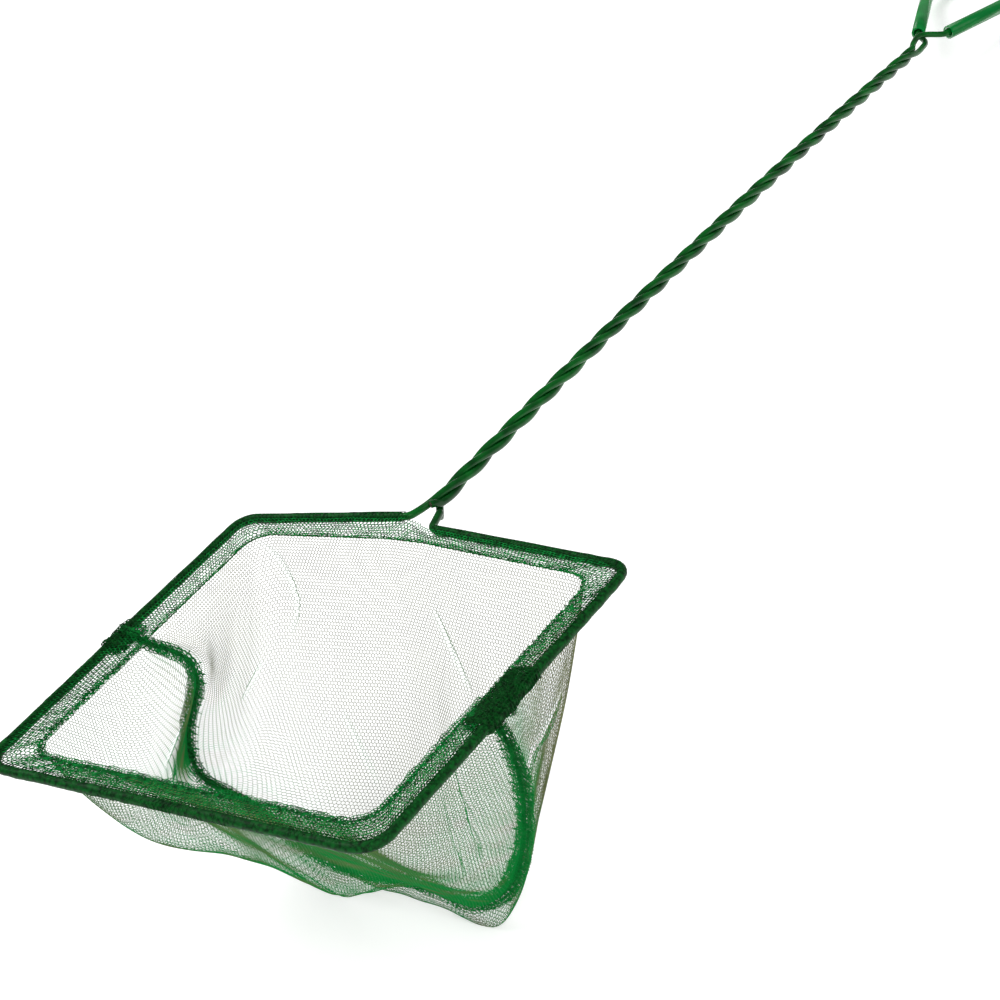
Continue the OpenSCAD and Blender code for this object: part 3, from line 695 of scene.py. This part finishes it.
# Sharp creases: shares along the hem and down the cloth, then height and half width in millimetres
FRONT_CREASES = [
    ([(0.93, 0.12), (0.91, 0.25), (0.89, 0.42), (0.865, 0.54), (0.83, 0.64), (0.79, 0.76)], 2.6, 0.6),
    ([(0.86, 0.30), (0.81, 0.51), (0.765, 0.68)], 1.6, 0.5),
    ([(0.10, 0.90), (0.13, 0.75), (0.16, 0.70), (0.19, 0.81)], 0.8, 0.5),
]
BACK_CREASES = [
    ([(0.24, 0.02), (0.258, 0.08), (0.272, 0.14), (0.283, 0.22), (0.281, 0.28), (0.27, 0.34)], 2.0, 0.5),
    ([(0.232, 0.46), (0.225, 0.53), (0.213, 0.64)], 1.8, 0.5),
    ([(0.505, 0.17), (0.517, 0.22), (0.54, 0.29), (0.565, 0.36)], 2.0, 0.5),
    ([(0.355, 0.52), (0.382, 0.59), (0.41, 0.66)], 1.6, 0.5),
    ([(0.80, 0.36), (0.84, 0.52), (0.868, 0.66), (0.885, 0.90)], 2.2, 1.0),
]


def soft_rows(rows, shares):
    """Rows of a table at shares of its length, blended with a soft step."""
    rows = np.array(rows)
    at = shares * (len(rows) - 1)
    i = np.minimum(at.astype(int), len(rows) - 2)
    t = (at - i)[:, None]
    t = t * t * (3 - 2 * t)
    return rows[i] * (1 - t) + rows[i + 1] * t


class Panel:
    """One panel of the bag as a table of points, along the hem and down to the seam."""

    columns, rows, steps = 700, 200, 60
    seam_gap = 0.9

    def __init__(self, side, hem, pulls, creases, seed):
        self.side = side
        shares = np.linspace(0, 1, self.columns)
        top = solid(at_shares(hem, shares), -HEM_DROP)
        foot = at_shares(SEAM, shares) + [0, side * self.seam_gap, 0]
        reach = np.linalg.norm(foot - top, axis=1)[:, None]
        pull = soft_rows(pulls, shares)
        below = top + np.stack([0 * shares, side * pull[:, 0], -pull[:, 1]], 1) * reach
        ahead = foot + np.stack([pull[:, 2], side * pull[:, 3], -pull[:, 4]], 1) * reach
        t = np.linspace(0, 1, self.steps)
        curves = bezier(top[:, None], below[:, None], ahead[:, None], foot[:, None], t[None, :])
        even = np.linspace(0, 1, self.rows)
        self.table = np.stack([at_shares(curve, even) for curve in curves])
        self.depth = np.array([lengths(curve)[-1] for curve in curves])
        self.width = (lengths(top)[-1] + lengths(foot)[-1]) / 2
        self.wrinkle(creases, seed)

    def normals(self):
        a = np.gradient(self.table, axis=0)
        b = np.gradient(self.table, axis=1)
        return unit(np.cross(a, b) + 1e-12)

    def wrinkle(self, creases, seed):
        """Slack folds that fade out at the hem, bunched folds along the bottom and a few sharp creases."""
        in_front = self.side < 0
        share, down = np.linspace(0, 1, self.columns)[:, None], np.linspace(0, 1, self.rows)[None, :]
        x, y = share * self.width, down * self.depth[:, None]
        to_seam = self.depth[:, None] - y

        # Broad folds with finer ones on them, calmer near the left tack
        calm_end, calm_fade, calm_least, deep = 0.1, 0.08, 0.3, 40
        free = np.sin(math.pi * down) ** 0.7 * np.clip(self.depth[:, None] / deep, 0, 1)
        calm = calm_least + (1 - calm_least) * np.clip((share - calm_end) / calm_fade, 0, 1)
        broad, fine = waves(seed, 7, 26, 70)(x, 0.35 * y), waves(seed + 1, 6, 9, 22)(x, 0.3 * y)
        lift = (broad * 0.8 + fine * 0.3) * free * calm

        # Bunched folds along the bottom, about 11 mm from the seam and 6.5 mm apart
        bunch_middle, bunch_spread, fold_pitch, fold_drift = 11, 8, 6.5, 2.5
        bunch_height = 0.7 if in_front else 0.4
        bottom = np.clip((share - 0.22) / 0.06, 0, 1) * np.clip((0.62 - share) / 0.2, 0, 1)
        slack = np.exp(-((to_seam - bunch_middle) / bunch_spread) ** 2) * bottom
        turn = (to_seam + waves(seed + 2, 4, 30, 80)(x, y) * fold_drift) * 2 * math.pi / fold_pitch
        uneven = 0.7 + 0.5 * waves(seed + 3, 4, 20, 60)(x, 0 * y)
        lift = lift + np.sin(turn) * slack * bunch_height * uneven

        # Gathered cloth: along the seam, on the folds' crests and in the fold at the right
        everywhere, seam_reach = (0.3, 60) if in_front else (0.05, 20)
        seam_edge, crest_power = 3.5, 5
        patchy = 0.75 + 0.45 * waves(seed + 4, 6, 6, 25)(x, y)
        wide = np.exp(-((to_seam / seam_reach) ** 2)) * np.clip((share - 0.12) / 0.1, 0, 1)
        right = np.clip((share - 0.8) / 0.1, 0, 1) * np.sin(math.pi * down) ** 2
        crest = np.clip(np.sin(turn), 0, 1) ** crest_power
        edge = np.exp(-((to_seam / seam_edge) ** 2))
        gathered = everywhere + 0.95 * wide * patchy + 0.3 * right + 0.9 * edge + 0.9 * slack * crest * patchy

        # Sharp creases, which fade out at their two ends
        crease_points, crease_rim = 60, 0.7
        for points, height, half in creases:
            places = [(a * self.width, b * even_interp(a, self.depth)) for a, b in points]
            line = smoothed(places, crease_points, 2)
            near = np.full(x.shape, 1e3)
            fade = np.zeros(x.shape)
            for k, (a, b) in enumerate(line):
                d = np.hypot(x - a, y - b)
                closer = d < near
                near = np.where(closer, d, near)
                fade = np.where(closer, math.sin(math.pi * (k + 0.5) / crease_points) ** 0.5, fade)
            lift = lift + height * np.exp(-((near / half) ** 2)) * fade
            gathered = gathered + 0.8 * np.exp(-((near / (half + crease_rim)) ** 2)) * fade
        self.table += self.normals() * lift[..., None]
        self.full = np.concatenate([self.table, np.clip(gathered, 0, 1)[..., None]], -1)

    def at(self, x, y):
        """Points and gathering at flat places: x along the hem, y down the cloth, in millimetres."""
        s = np.clip(x / self.width, 0, 1) * (self.columns - 1)
        depth = np.interp(s, np.arange(self.columns), self.depth)
        r = np.clip(y / depth, 0, 1) * (self.rows - 1)
        i, j = np.minimum(s.astype(int), self.columns - 2), np.minimum(r.astype(int), self.rows - 2)
        a, b = (s - i)[..., None], (r - j)[..., None]
        upper = self.full[i, j] * (1 - a) + self.full[i + 1, j] * a
        lower = self.full[i, j + 1] * (1 - a) + self.full[i + 1, j + 1] * a
        here = upper * (1 - b) + lower * b
        return here[..., :3], here[..., 3]


def honeycomb(width, height, cell):
    """Flat points and edges of a six-sided mesh: zigzag rows joined by short links."""
    edge = cell / math.sqrt(3)
    columns, rows = int(width / (cell / 2)) + 1, int(height / (1.5 * edge)) + 2
    i, j = np.meshgrid(np.arange(columns), np.arange(rows), indexing="ij")
    odd = (i + j) % 2
    stretch = width / ((columns - 1) * cell / 2)
    points = np.stack([i * cell / 2 * stretch, j * 1.5 * edge + odd * edge / 2], -1).reshape(-1, 2)
    index = i * rows + j
    along = np.stack([index[:-1].ravel(), index[1:].ravel()], 1)
    link = odd[:, :-1] == 1
    down = np.stack([index[:, :-1][link], index[:, 1:][link]], 1)
    return points, np.vstack([along, down])


def above_floor(points, clear=0.12):
    """Lifts what would sink into the surface that the net lies on."""
    need = np.maximum(clear * MM - placed(points)[..., 2], 0) / MM
    points = points.copy()
    points[..., 2] += need * math.cos(TILT)
    points[..., 1] -= need * math.sin(TILT)
    return points


def knit_panel(name, panel, cell, radius, node):
    """Knits a panel in three pieces side by side, each attached to the net."""
    pieces, shortest = 3, 0.05
    flat, edges = honeycomb(panel.width, panel.depth.max(), cell)
    inside = flat[:, 1] <= even_interp(flat[:, 0] / panel.width, panel.depth)
    edges = edges[inside[edges].any(axis=1)]
    points, gathered = panel.at(flat[:, 0], flat[:, 1])
    points = above_floor(points)
    edges = edges[np.linalg.norm(points[edges[:, 0]] - points[edges[:, 1]], axis=1) > shortest]
    middle = flat[edges].mean(axis=1)[:, 0] / panel.width
    piece = np.minimum((middle * pieces).astype(int), pieces - 1)
    for k in range(pieces):
        part = edges[piece == k]
        obj = threads(f"{name}_{k + 1}", points, part, radius, "nylon_mesh", gathered=gathered)
        declare(obj, NET, *([node] if k == 0 else []), slot="net_mesh")


class NET_OT_panels(bpy.types.Operator):
    """Knits the front and the back panel of the bag"""

    bl_idname = "fishnet.panels"
    bl_label = "Bag panels"

    def execute(self, context):
        sizes = context.scene.net_sizes
        cell, radius = sizes.cell / MM, sizes.thread / MM / 2
        front = Panel(-1, FRONT_HEM, FRONT_PULLS, FRONT_CREASES, 11)
        back = Panel(1, BACK_HEM, BACK_PULLS, BACK_CREASES, 23)
        knit_panel("front_net", front, cell, radius, "front_panel")
        knit_panel("back_net", back, cell, radius, "back_panel")
        return {"FINISHED"}


# Hem

# Radius of the cloth round the wire, and its way round the wire's outer half
WRAP_R = WIRE / 2 + 0.3
WRAP_ARC = math.pi * WRAP_R


def hem_section(q, width):
    """A point of the folded edge's section, q along the cloth from the upper stitches round the wire."""
    upper_gap, lower_gap, sag = 0.45, 0.35, 1.3
    turn = np.clip((q - width) / WRAP_R, 0, math.pi)
    upper, lower = q < width, q > width + WRAP_ARC
    a = np.where(upper, width - q, np.where(lower, q - width - WRAP_ARC, -WRAP_R * np.sin(turn)))
    ahead, back = np.clip(1 - q / width, 0, 1), np.clip((q - width - WRAP_ARC) / width, 0, 1)
    w = np.where(upper, WRAP_R - (WRAP_R + HEM_DROP - upper_gap) * ahead**sag, WRAP_R * np.cos(turn))
    return a, np.where(lower, -WRAP_R + (WRAP_R - HEM_DROP - lower_gap) * back**sag, w)


def hem_fold(wire_line, hem_line, cell, seed, ripple, rise=0.0):
    """The bag's edge folded over the wire, as one strip of mesh with an upper and a lower layer."""
    stations = np.linspace(0.1, 0.9, 9)
    gaps = at_shares(hem_line, stations) - at_shares(wire_line, stations)
    width = np.linalg.norm(gaps, axis=1).mean()
    across = 2 * width + WRAP_ARC
    long = (lengths(wire_line)[-1] + lengths(hem_line)[-1]) / 2
    flat, edges = honeycomb(long, across, cell)
    edges = edges[(flat[edges][:, :, 1] <= across).all(axis=1)]
    x, y = flat.T
    on_wire, on_hem = at_shares(wire_line, x / long), at_shares(hem_line, x / long)
    reach = np.linalg.norm(on_hem - on_wire, axis=1)
    way = (on_hem - on_wire) / reach[:, None]
    a, w = hem_section(y, width)
    a = np.where(a > 0, a * reach / width, a * (1 + rise / WIRE))
    upper = np.where(y < across / 2, 1, -1)
    loose = np.clip(a / width, 0, 1)
    slack = waves(seed, 5, 6, 18)(x, y) * ripple * (0.3 + loose)
    points = np.column_stack([on_wire + way * a[:, None], w + slack + upper * rise])
    along = np.column_stack([way[:, 1], -way[:, 0], 0 * reach])
    bunch = waves(seed + 1, 6, 3.5, 9)(x, 0.4 * y) * ripple * 2.4 * loose
    return points + along * bunch[:, None], edges, flat, (long, across, width)


def rope(name, line, radius, coat, seed, rough):
    """A lumpy closed rope along an open flat line, its rings tipped by a hair so that none falls flat."""
    sides, step, tip = 14, 0.8, 1e-6
    path, along, around = stations(solid(line), step, sides)
    lumps = waves(seed, 6, 2.5, 9)(along, around * radius)
    swells = waves(seed + 1, 5, 14, 40)(along, 0 * around)
    r = radius * (1 + rough * lumps + 0.5 * rough * swells)
    points = rings(path, np.array([0, 0, 1.0]) + tip, r, r)
    return mesh_object(name, placed(points), closed_faces(len(path), sides), coat)


class NET_OT_hem(bpy.types.Operator):
    """Folds the bag's edge over the hoop's bars and gathers its inner edge"""

    bl_idname = "fishnet.hem"
    bl_label = "Hem"

    def execute(self, context):
        sizes = context.scene.net_sizes
        cell, radius = sizes.cell / MM * 1.05, sizes.thread / MM / 2 * 1.42
        rope_r, round_bar = 1.62, 2.2

        # How far the cloth stops from the neck's corners, along the bars and in the open mesh between them
        left_stop, right_stop, open_inset, open_drop = 3, 2.5, 1.5, 1.4
        run = lengths(BACK_WIRE)
        necks = [run[np.argmin(np.linalg.norm(BACK_WIRE - neck, axis=1))] for neck in (NECK_LEFT, NECK_RIGHT)]
        left_end, right_end = (necks[0] - left_stop) / run[-1], (necks[1] + right_stop) / run[-1]
        tacks = [o for o in bpy.data.objects if "_tack_" in o.name]
        jobs = (
            ("front", FRONT_WIRE, FRONT_HEM, 5, [(0.0, 1.0)], 1.5, 2, tacks),
            ("back", BACK_WIRE, BACK_HEM, 6, [(0.0, left_end), (right_end, 1.0)], 0.9, 1, []),
        )
        for key, wire_line, hem_line, seed, ends, half_width, layers, tied in jobs:
            points, edges, flat, (long, across, width) = hem_fold(wire_line, hem_line, cell, seed, 0.2)
            if key == "back":
                u, v = points[edges].mean(axis=1)[:, :2].T
                free_edge = np.interp(u, *np.transpose([NECK_LEFT, NECK_RIGHT])) - open_drop
                past_left = u > NECK_LEFT[0] - left_stop + open_inset
                before_right = u < NECK_RIGHT[0] + right_stop - open_inset
                edges = edges[~(past_left & before_right & (v > free_edge))]
            place = flat[edges].mean(axis=1)[:, 1]
            on_bar = (place > width - round_bar) & (place < across - width + round_bar)
            wrap = threads(f"{key}_hem_wrap", points, edges[on_bar], radius * 1.1, "nylon_wrap")
            declare(wrap, NET, f"{key}_hem", slot="hem_cloth")
            pieces = [wrap]
            for k, (first, last) in enumerate(ends):
                stretch = at_shares(wire_line, np.linspace(first, last, 200))
                core = rope(f"{key}_hem_rope_{k + 1}", stretch, rope_r, "nylon_wrap", 41 + k, 0.05)
                pieces.append(declare(core, NET, slot="hem_cloth"))
            inner = solid(hem_line, -HEM_DROP + 0.2)
            knit, links, _ = band(inner, half_width, layers, 0.45, cell * 0.85, 91, (0.0, 0.0, 1.0))
            gather = threads(f"{key}_hem_gather", knit, links, radius, "nylon_hem")
            pieces.append(declare(gather, NET, slot="hem_cloth"))
            fold = threads(f"{key}_hem_fold", points, edges[~on_bar], radius, "nylon_hem")
            declare(fold, NET, slot="hem_cloth")
            pieces += tied
        return {"FINISHED"}


def to_and_fro(count, plus, minus, every=1):
    """Plus and minus by turns, changing after every so many."""
    return np.where(np.arange(count) % (2 * every) < every, plus, minus)


class NET_OT_stitches(bpy.types.Operator):
    """Sews the stitches along the hem's inner edge"""

    bl_idname = "fishnet.stitches"
    bl_label = "Hem stitches"

    def execute(self, context):
        pitch = context.scene.net_sizes.stitch / MM
        half_width, lift, below, thread_r, sides, end_share = 0.7, 0.35, 0.1, 0.24, 6, 0.012
        for key, line, seed in (("front", FRONT_HEM, 31), ("back", BACK_HEM, 37)):
            count = int(lengths(line)[-1] / pitch) * 2
            path = at_shares(line, np.linspace(end_share, 1 - end_share, count))
            way = solid(unit(np.gradient(path, axis=0)))
            across = unit(np.cross(way, [0, 0, 1.0]))
            wander = np.random.default_rng(seed).uniform(0.75, 1.2, count)
            swing = to_and_fro(count, half_width, -half_width) * wander
            sewn = solid(path, -HEM_DROP - below) + across * swing[:, None]
            sewn[:, 2] += to_and_fro(count, lift, -lift)
            obj = wire(f"{key}_hem_stitches", sewn, thread_r, "nylon_seam", sides)
            declare(obj, NET, f"{key}_hem_stitching", slot="stitch_thread")
        return {"FINISHED"}


def band(line, half_width, layers, gap, cell, seed, normal, swell=(1, 1)):
    """Layers of mesh in a narrow band along a line, lying square to the given direction."""
    run = lengths(line)[-1]
    look, wander, ripple = 0.004, 0.35, 0.22
    flat, links = honeycomb(run, 2 * half_width, cell)
    links = links[(flat[links][:, :, 1] <= 2 * half_width).all(axis=1)]
    x, y = flat.T
    share = np.clip(x / run, 0, 1)
    way = unit(at_shares(line, np.clip(share + look, 0, 1)) - at_shares(line, np.clip(share - look, 0, 1)))
    side = unit(np.cross(way, normal))
    over = np.cross(side, way)
    loose = (y - half_width) * even_interp(share, swell)
    points = []
    for layer in range(layers):
        off = loose + wander * waves(seed + 50 + layer, 5, 5, 20)(x, x * 0 + layer)
        rise = (layer - (layers - 1) / 2) * gap + ripple * waves(seed + layer, 5, 4, 14)(x, y)
        points.append(at_shares(line, share) + side * off[:, None] + over * rise[:, None])
    edges = [links + layer * len(flat) for layer in range(layers)]
    return np.vstack(points), np.vstack(edges), np.tile(x / run, layers)


# Seam

# The seam's two ends at the side bars: across and square to the hoop
SEAM_LEFT_END = ((-74.4, 0.6), (-71.5, 1.2), (-68.0, 0.4))
SEAM_RIGHT_END = ((68.5, -5.0), (71.5, -3.6), (74.0, -2.4))

# How wide the seam spreads at even stations from the left tack to the right one
SEAM_SWELL = [
    0.8, 1.0, 1.1, 0.95, 0.85, 1.0, 0.95, 0.75, 0.95, 1.1, 0.85,
    1.0, 1.15, 0.9, 1.05, 1.1, 0.9, 1.0, 1.05, 0.85, 0.75,
]

# How bright its cloth is at shares of the way: painted shade, dark on the steep stretches up to the tacks,
# and painted light, bright along the flat bottom
SEAM_PAINTED_LIGHT_AT = [0, 0.1, 0.2, 0.32, 0.38, 0.5, 0.8, 0.88, 0.95, 1]
SEAM_PAINTED_LIGHT = [0.1, 0.4, 0.3, 0.0, 0.6, 0.95, 0.95, 0.6, 0.2, 0.0]


def whole_seam():
    """The seam's route with the stretches that run over and under the hem to the bars."""
    first, last = [np.array([(u, SEAM_V, w) for u, w in end]) for end in (SEAM_LEFT_END, SEAM_RIGHT_END)]
    return smoothed(np.vstack([first, SEAM, last]), 300, 10)


class NET_OT_seam(bpy.types.Operator):
    """Sews the seam between the two panels, with its overlocked edge"""

    bl_idname = "fishnet.seam"
    bl_label = "Bag seam"

    normal = (0.0, 1.0, 0.0)

    def execute(self, context):
        sizes = context.scene.net_sizes
        half = sizes.seam_width / MM / 2
        line = whole_seam()
        declare(self.core(line, half * 0.28), NET, "bag_seam", slot="seam_tape")
        declare(self.cloth(line, half * 1.1, sizes), NET, slot="seam_tape")
        declare(self.overlock(line, half), NET, slot="seam_tape")
        return {"FINISHED"}

    def core(self, line, wide):
        """The turned-in edges in the seam's middle, as a lumpy flat ribbon."""
        tall, sides, step = 0.45, 12, 0.7
        path, along, around = stations(line, step, sides)
        w = wide * (1 + 0.16 * waves(61, 6, 2.2, 8)(along, around * 2))
        h = tall * (1 + 0.28 * waves(62, 6, 1.8, 6)(along, around * 2))
        points = above_floor(rings(path, self.normal, w, h))
        obj = mesh_object("seam_core", placed(points), closed_faces(len(path), sides), "nylon_seam")
        # Painted light and shade along the seam: dark on the steep stretches, bright along the bottom
        painted_light = np.interp(np.linspace(0, 1, len(path)), SEAM_PAINTED_LIGHT_AT, SEAM_PAINTED_LIGHT)
        gather_values(obj.data, np.repeat(painted_light, sides))
        return obj

    def cloth(self, line, half_width, sizes):
        """Four layers of open mesh over the core."""
        cell, radius = sizes.cell / MM * 1.2, sizes.thread / MM / 2 * 1.5
        points, edges, share = band(line, half_width, 4, 0.55, cell, 71, self.normal, SEAM_SWELL)
        # Painted light and shade along the seam, as on its core
        painted_light = np.interp(share, SEAM_PAINTED_LIGHT_AT, SEAM_PAINTED_LIGHT)
        return threads("seam_band", above_floor(points), edges, radius, "nylon_seam", gathered=painted_light)

    def overlock(self, line, half):
        """The thread that runs to and fro over the seam's edges."""
        pitch, thread_r, sides, depth = 0.8, 0.2, 5, 0.85
        count = int(lengths(line)[-1] / pitch)
        share = np.linspace(0, 1, count)
        path = at_shares(line, share)
        side = unit(np.cross(unit(np.gradient(path, axis=0)), self.normal))
        wander = np.random.default_rng(77).uniform(0.75, 1.15, (count, 1))[:, 0]
        swing = to_and_fro(count, 1.15, -1.05) * half * wander * even_interp(share, SEAM_SWELL)
        over = np.array(self.normal) * to_and_fro(count, depth, -depth, 2)[:, None]
        # Painted light and shade along the seam, a little lighter on the overlock thread
        painted_light = np.interp(share, SEAM_PAINTED_LIGHT_AT, SEAM_PAINTED_LIGHT) + 0.1
        sewn = above_floor(path + side * swing[:, None] + over)
        return wire("seam_overlock", sewn, thread_r, "nylon_seam", sides, painted_light)


class NET_OT_tacks(bpy.types.Operator):
    """Ties the seam's two ends to the side bars with crumpled cloth and thread"""

    bl_idname = "fishnet.tacks"
    bl_label = "Seam tacks"

    def execute(self, context):
        sizes = context.scene.net_sizes
        cell, radius = sizes.cell / MM * 0.9, sizes.thread / MM / 2 * 1.5
        jobs = ((-1, "left", 8.0, 5.0, 3, 0.6, 6.5), (1, "right", 13.0, 13.0, 4, 0.85, 13.0))
        for side, key, ahead, back, layers, size, half_knot in jobs:
            u = side * SIDE_U
            inner_u = side * (HEM_SIDE_U + HEM_W - HEM_W * size)
            bar, edge = [np.array([(x, SEAM_V - ahead), (x, SEAM_V + back)]) for x in (u, inner_u)]
            ends = [(u, SEAM_V - half_knot), (u, SEAM_V + half_knot)]
            knot = rope(f"{key}_tack_core", ends, 1.9, "nylon_wrap", 15 + side, 0.12)
            declare(knot, NET, f"{key}_seam_tack", slot="seam_tape")
            cloth, links = self.crumpled(bar, edge, cell, layers)
            patch = threads(f"{key}_tack_patch", cloth, links, radius, "nylon_wrap")
            declare(patch, NET, slot="seam_tape")
            binding = wire(f"{key}_tack_binding", self.wound(side, u), 0.2, "nylon_wrap", 6)
            declare(binding, NET, slot="seam_tape")
        return {"FINISHED"}

    def crumpled(self, bar, edge, cell, layers):
        """Layers of mesh folded over the bar one on the other, each crumpled in its own way."""
        first_rise, layer_rise, ripple, crumple = 0.1, 0.22, 0.4, 0.3
        points, edges, total = [], [], 0
        for layer in range(layers):
            rise = first_rise + layer_rise * layer
            p, e, flat, _ = hem_fold(bar, edge, cell, 80 + layer, ripple, rise)
            for k in range(3):
                p[:, k] += waves(200 + 7 * layer + k, 6, 3.5, 9)(flat[:, 0], flat[:, 1]) * crumple
            points.append(p)
            edges.append(e + total)
            total += len(p)
        return np.vstack(points), np.vstack(edges)

    def wound(self, side, u):
        """A thread wound round the bar in uneven turns."""
        turns, points_per_turn, r, half_length = 6, 12, 2.1, 6.0
        t = np.linspace(0, 1, turns * points_per_turn)
        jitter = np.random.default_rng(5 + side).uniform(-0.12, 0.12, len(t))
        reach = r + 0.25 * np.sin(t * 23.0 + side) + jitter
        v = SEAM_V - half_length + 2 * half_length * (t + 0.06 * np.sin(t * 31))
        angle = 2 * math.pi * turns * t
        return np.column_stack([u + reach * np.cos(angle), v, reach * np.sin(angle)])


# Stage

FLOOR_HALF = 2.2
LAMPS = (("key", (-0.7, -0.2, 1.3), 1.0, 9.0), ("fill", (0.9, -0.9, 0.9), 1.2, 5.0))
LAMPS_AIM = (0, -0.15, 0.05)

# The camera that was fitted to the photo: focal length in pixels, place and axes in the net's own frame
FOCAL_PX, PICTURE_PX, SENSOR_MM = 2259.4, 1000, 36.0
CAMERA_PLACE = (421.8, -472.1, 356.1)
CAMERA_RIGHT = (0.82221, 0.51501, -0.24234)
CAMERA_DOWN = (0.09004, -0.53811, -0.83805)
CAMERA_AHEAD = (-0.56201, 0.66724, -0.48881)


class NET_OT_stage(bpy.types.Operator):
    """Sets the floor, the soft lights and the camera"""

    bl_idname = "fishnet.stage"
    bl_label = "Stage"

    def execute(self, context):
        scene = context.scene
        corners = [(x * FLOOR_HALF, y * FLOOR_HALF, 0) for x, y in ((-1, -1), (1, -1), (1, 1), (-1, 1))]
        floor = mesh_object("floor", corners, [(0, 1, 2, 3)], "paper_floor")
        self.sky(scene)
        for name, place, span, power in LAMPS:
            lamp = bpy.data.lights.new(name, "AREA")
            lamp.shape, lamp.size, lamp.energy = "DISK", span, power
            aim = Vector(LAMPS_AIM) - Vector(place)
            turn = aim.to_track_quat("-Z", "Y").to_matrix().to_4x4()
            linked(name, lamp).matrix_world = Matrix.Translation(place) @ turn
        lens = bpy.data.cameras.new("camera")
        lens.sensor_width, lens.lens = SENSOR_MM, FOCAL_PX * SENSOR_MM / PICTURE_PX
        lens.clip_start, lens.clip_end = 0.01, 20
        right, down, ahead = turned(CAMERA_RIGHT), turned(CAMERA_DOWN), turned(CAMERA_AHEAD)
        turn = Matrix((right, -down, -ahead)).transposed().to_4x4()
        scene.camera = linked("camera", lens)
        scene.camera.matrix_world = Matrix.Translation(Vector(placed(CAMERA_PLACE))) @ turn
        scene.view_settings.view_transform = "Standard"
        return {"FINISHED"}

    def sky(self, scene):
        """White to the eye and through the sleeve, softer as light and softest in highlights."""
        world = scene.world or bpy.data.worlds.new("world")
        scene.world = world
        world.use_nodes = True
        world.node_tree.nodes.clear()
        path = add(world, "ShaderNodeLightPath").outputs
        rays = {0: path["Is Camera Ray"], 1: path["Is Transmission Ray"]}
        seen = add(world, "ShaderNodeMath", rays, operation="MAXIMUM")
        soft = {"Value": path["Is Glossy Ray"], "To Min": 0.62, "To Max": 0.16}
        soft = add(world, "ShaderNodeMapRange", soft).outputs[0]
        lift = add(world, "ShaderNodeMapRange", {"Value": seen.outputs[0], "To Min": soft, "To Max": 1.0})
        sky = add(world, "ShaderNodeBackground", {"Color": (1, 1, 1, 1), "Strength": lift.outputs[0]})
        add(world, "ShaderNodeOutputWorld", {"Surface": sky.outputs[0]})


class NET_PT_panel(bpy.types.Panel):
    bl_label = "Fish net"
    bl_idname = "NET_PT_panel"
    bl_space_type = "VIEW_3D"
    bl_region_type = "UI"
    bl_category = "Fish net"

    def draw(self, context):
        for group in (context.scene.net_sizes, context.scene.net_colours):
            for key in group.__annotations__:
                self.layout.prop(group, key)
        for step in OPERATORS:
            self.layout.operator(step.bl_idname)


OPERATORS = (
    NET_OT_stage, NET_OT_frame_finish, NET_OT_strands, NET_OT_sleeve, NET_OT_seam,
    NET_OT_tacks, NET_OT_hem, NET_OT_panels, NET_OT_stitches,
)
CLASSES = (NetSizes, NetColours) + OPERATORS + (NET_PT_panel,)


def register():
    for cls in CLASSES:
        bpy.utils.register_class(cls)
    bpy.types.Scene.net_sizes = PointerProperty(type=NetSizes)
    bpy.types.Scene.net_colours = PointerProperty(type=NetColours)


def unregister():
    del bpy.types.Scene.net_colours
    del bpy.types.Scene.net_sizes
    for cls in reversed(CLASSES):
        bpy.utils.unregister_class(cls)


def main():
    register()
    for step in OPERATORS:
        group, name = step.bl_idname.split(".")
        getattr(getattr(bpy.ops, group), name)()


if __name__ == "__main__":
    main()
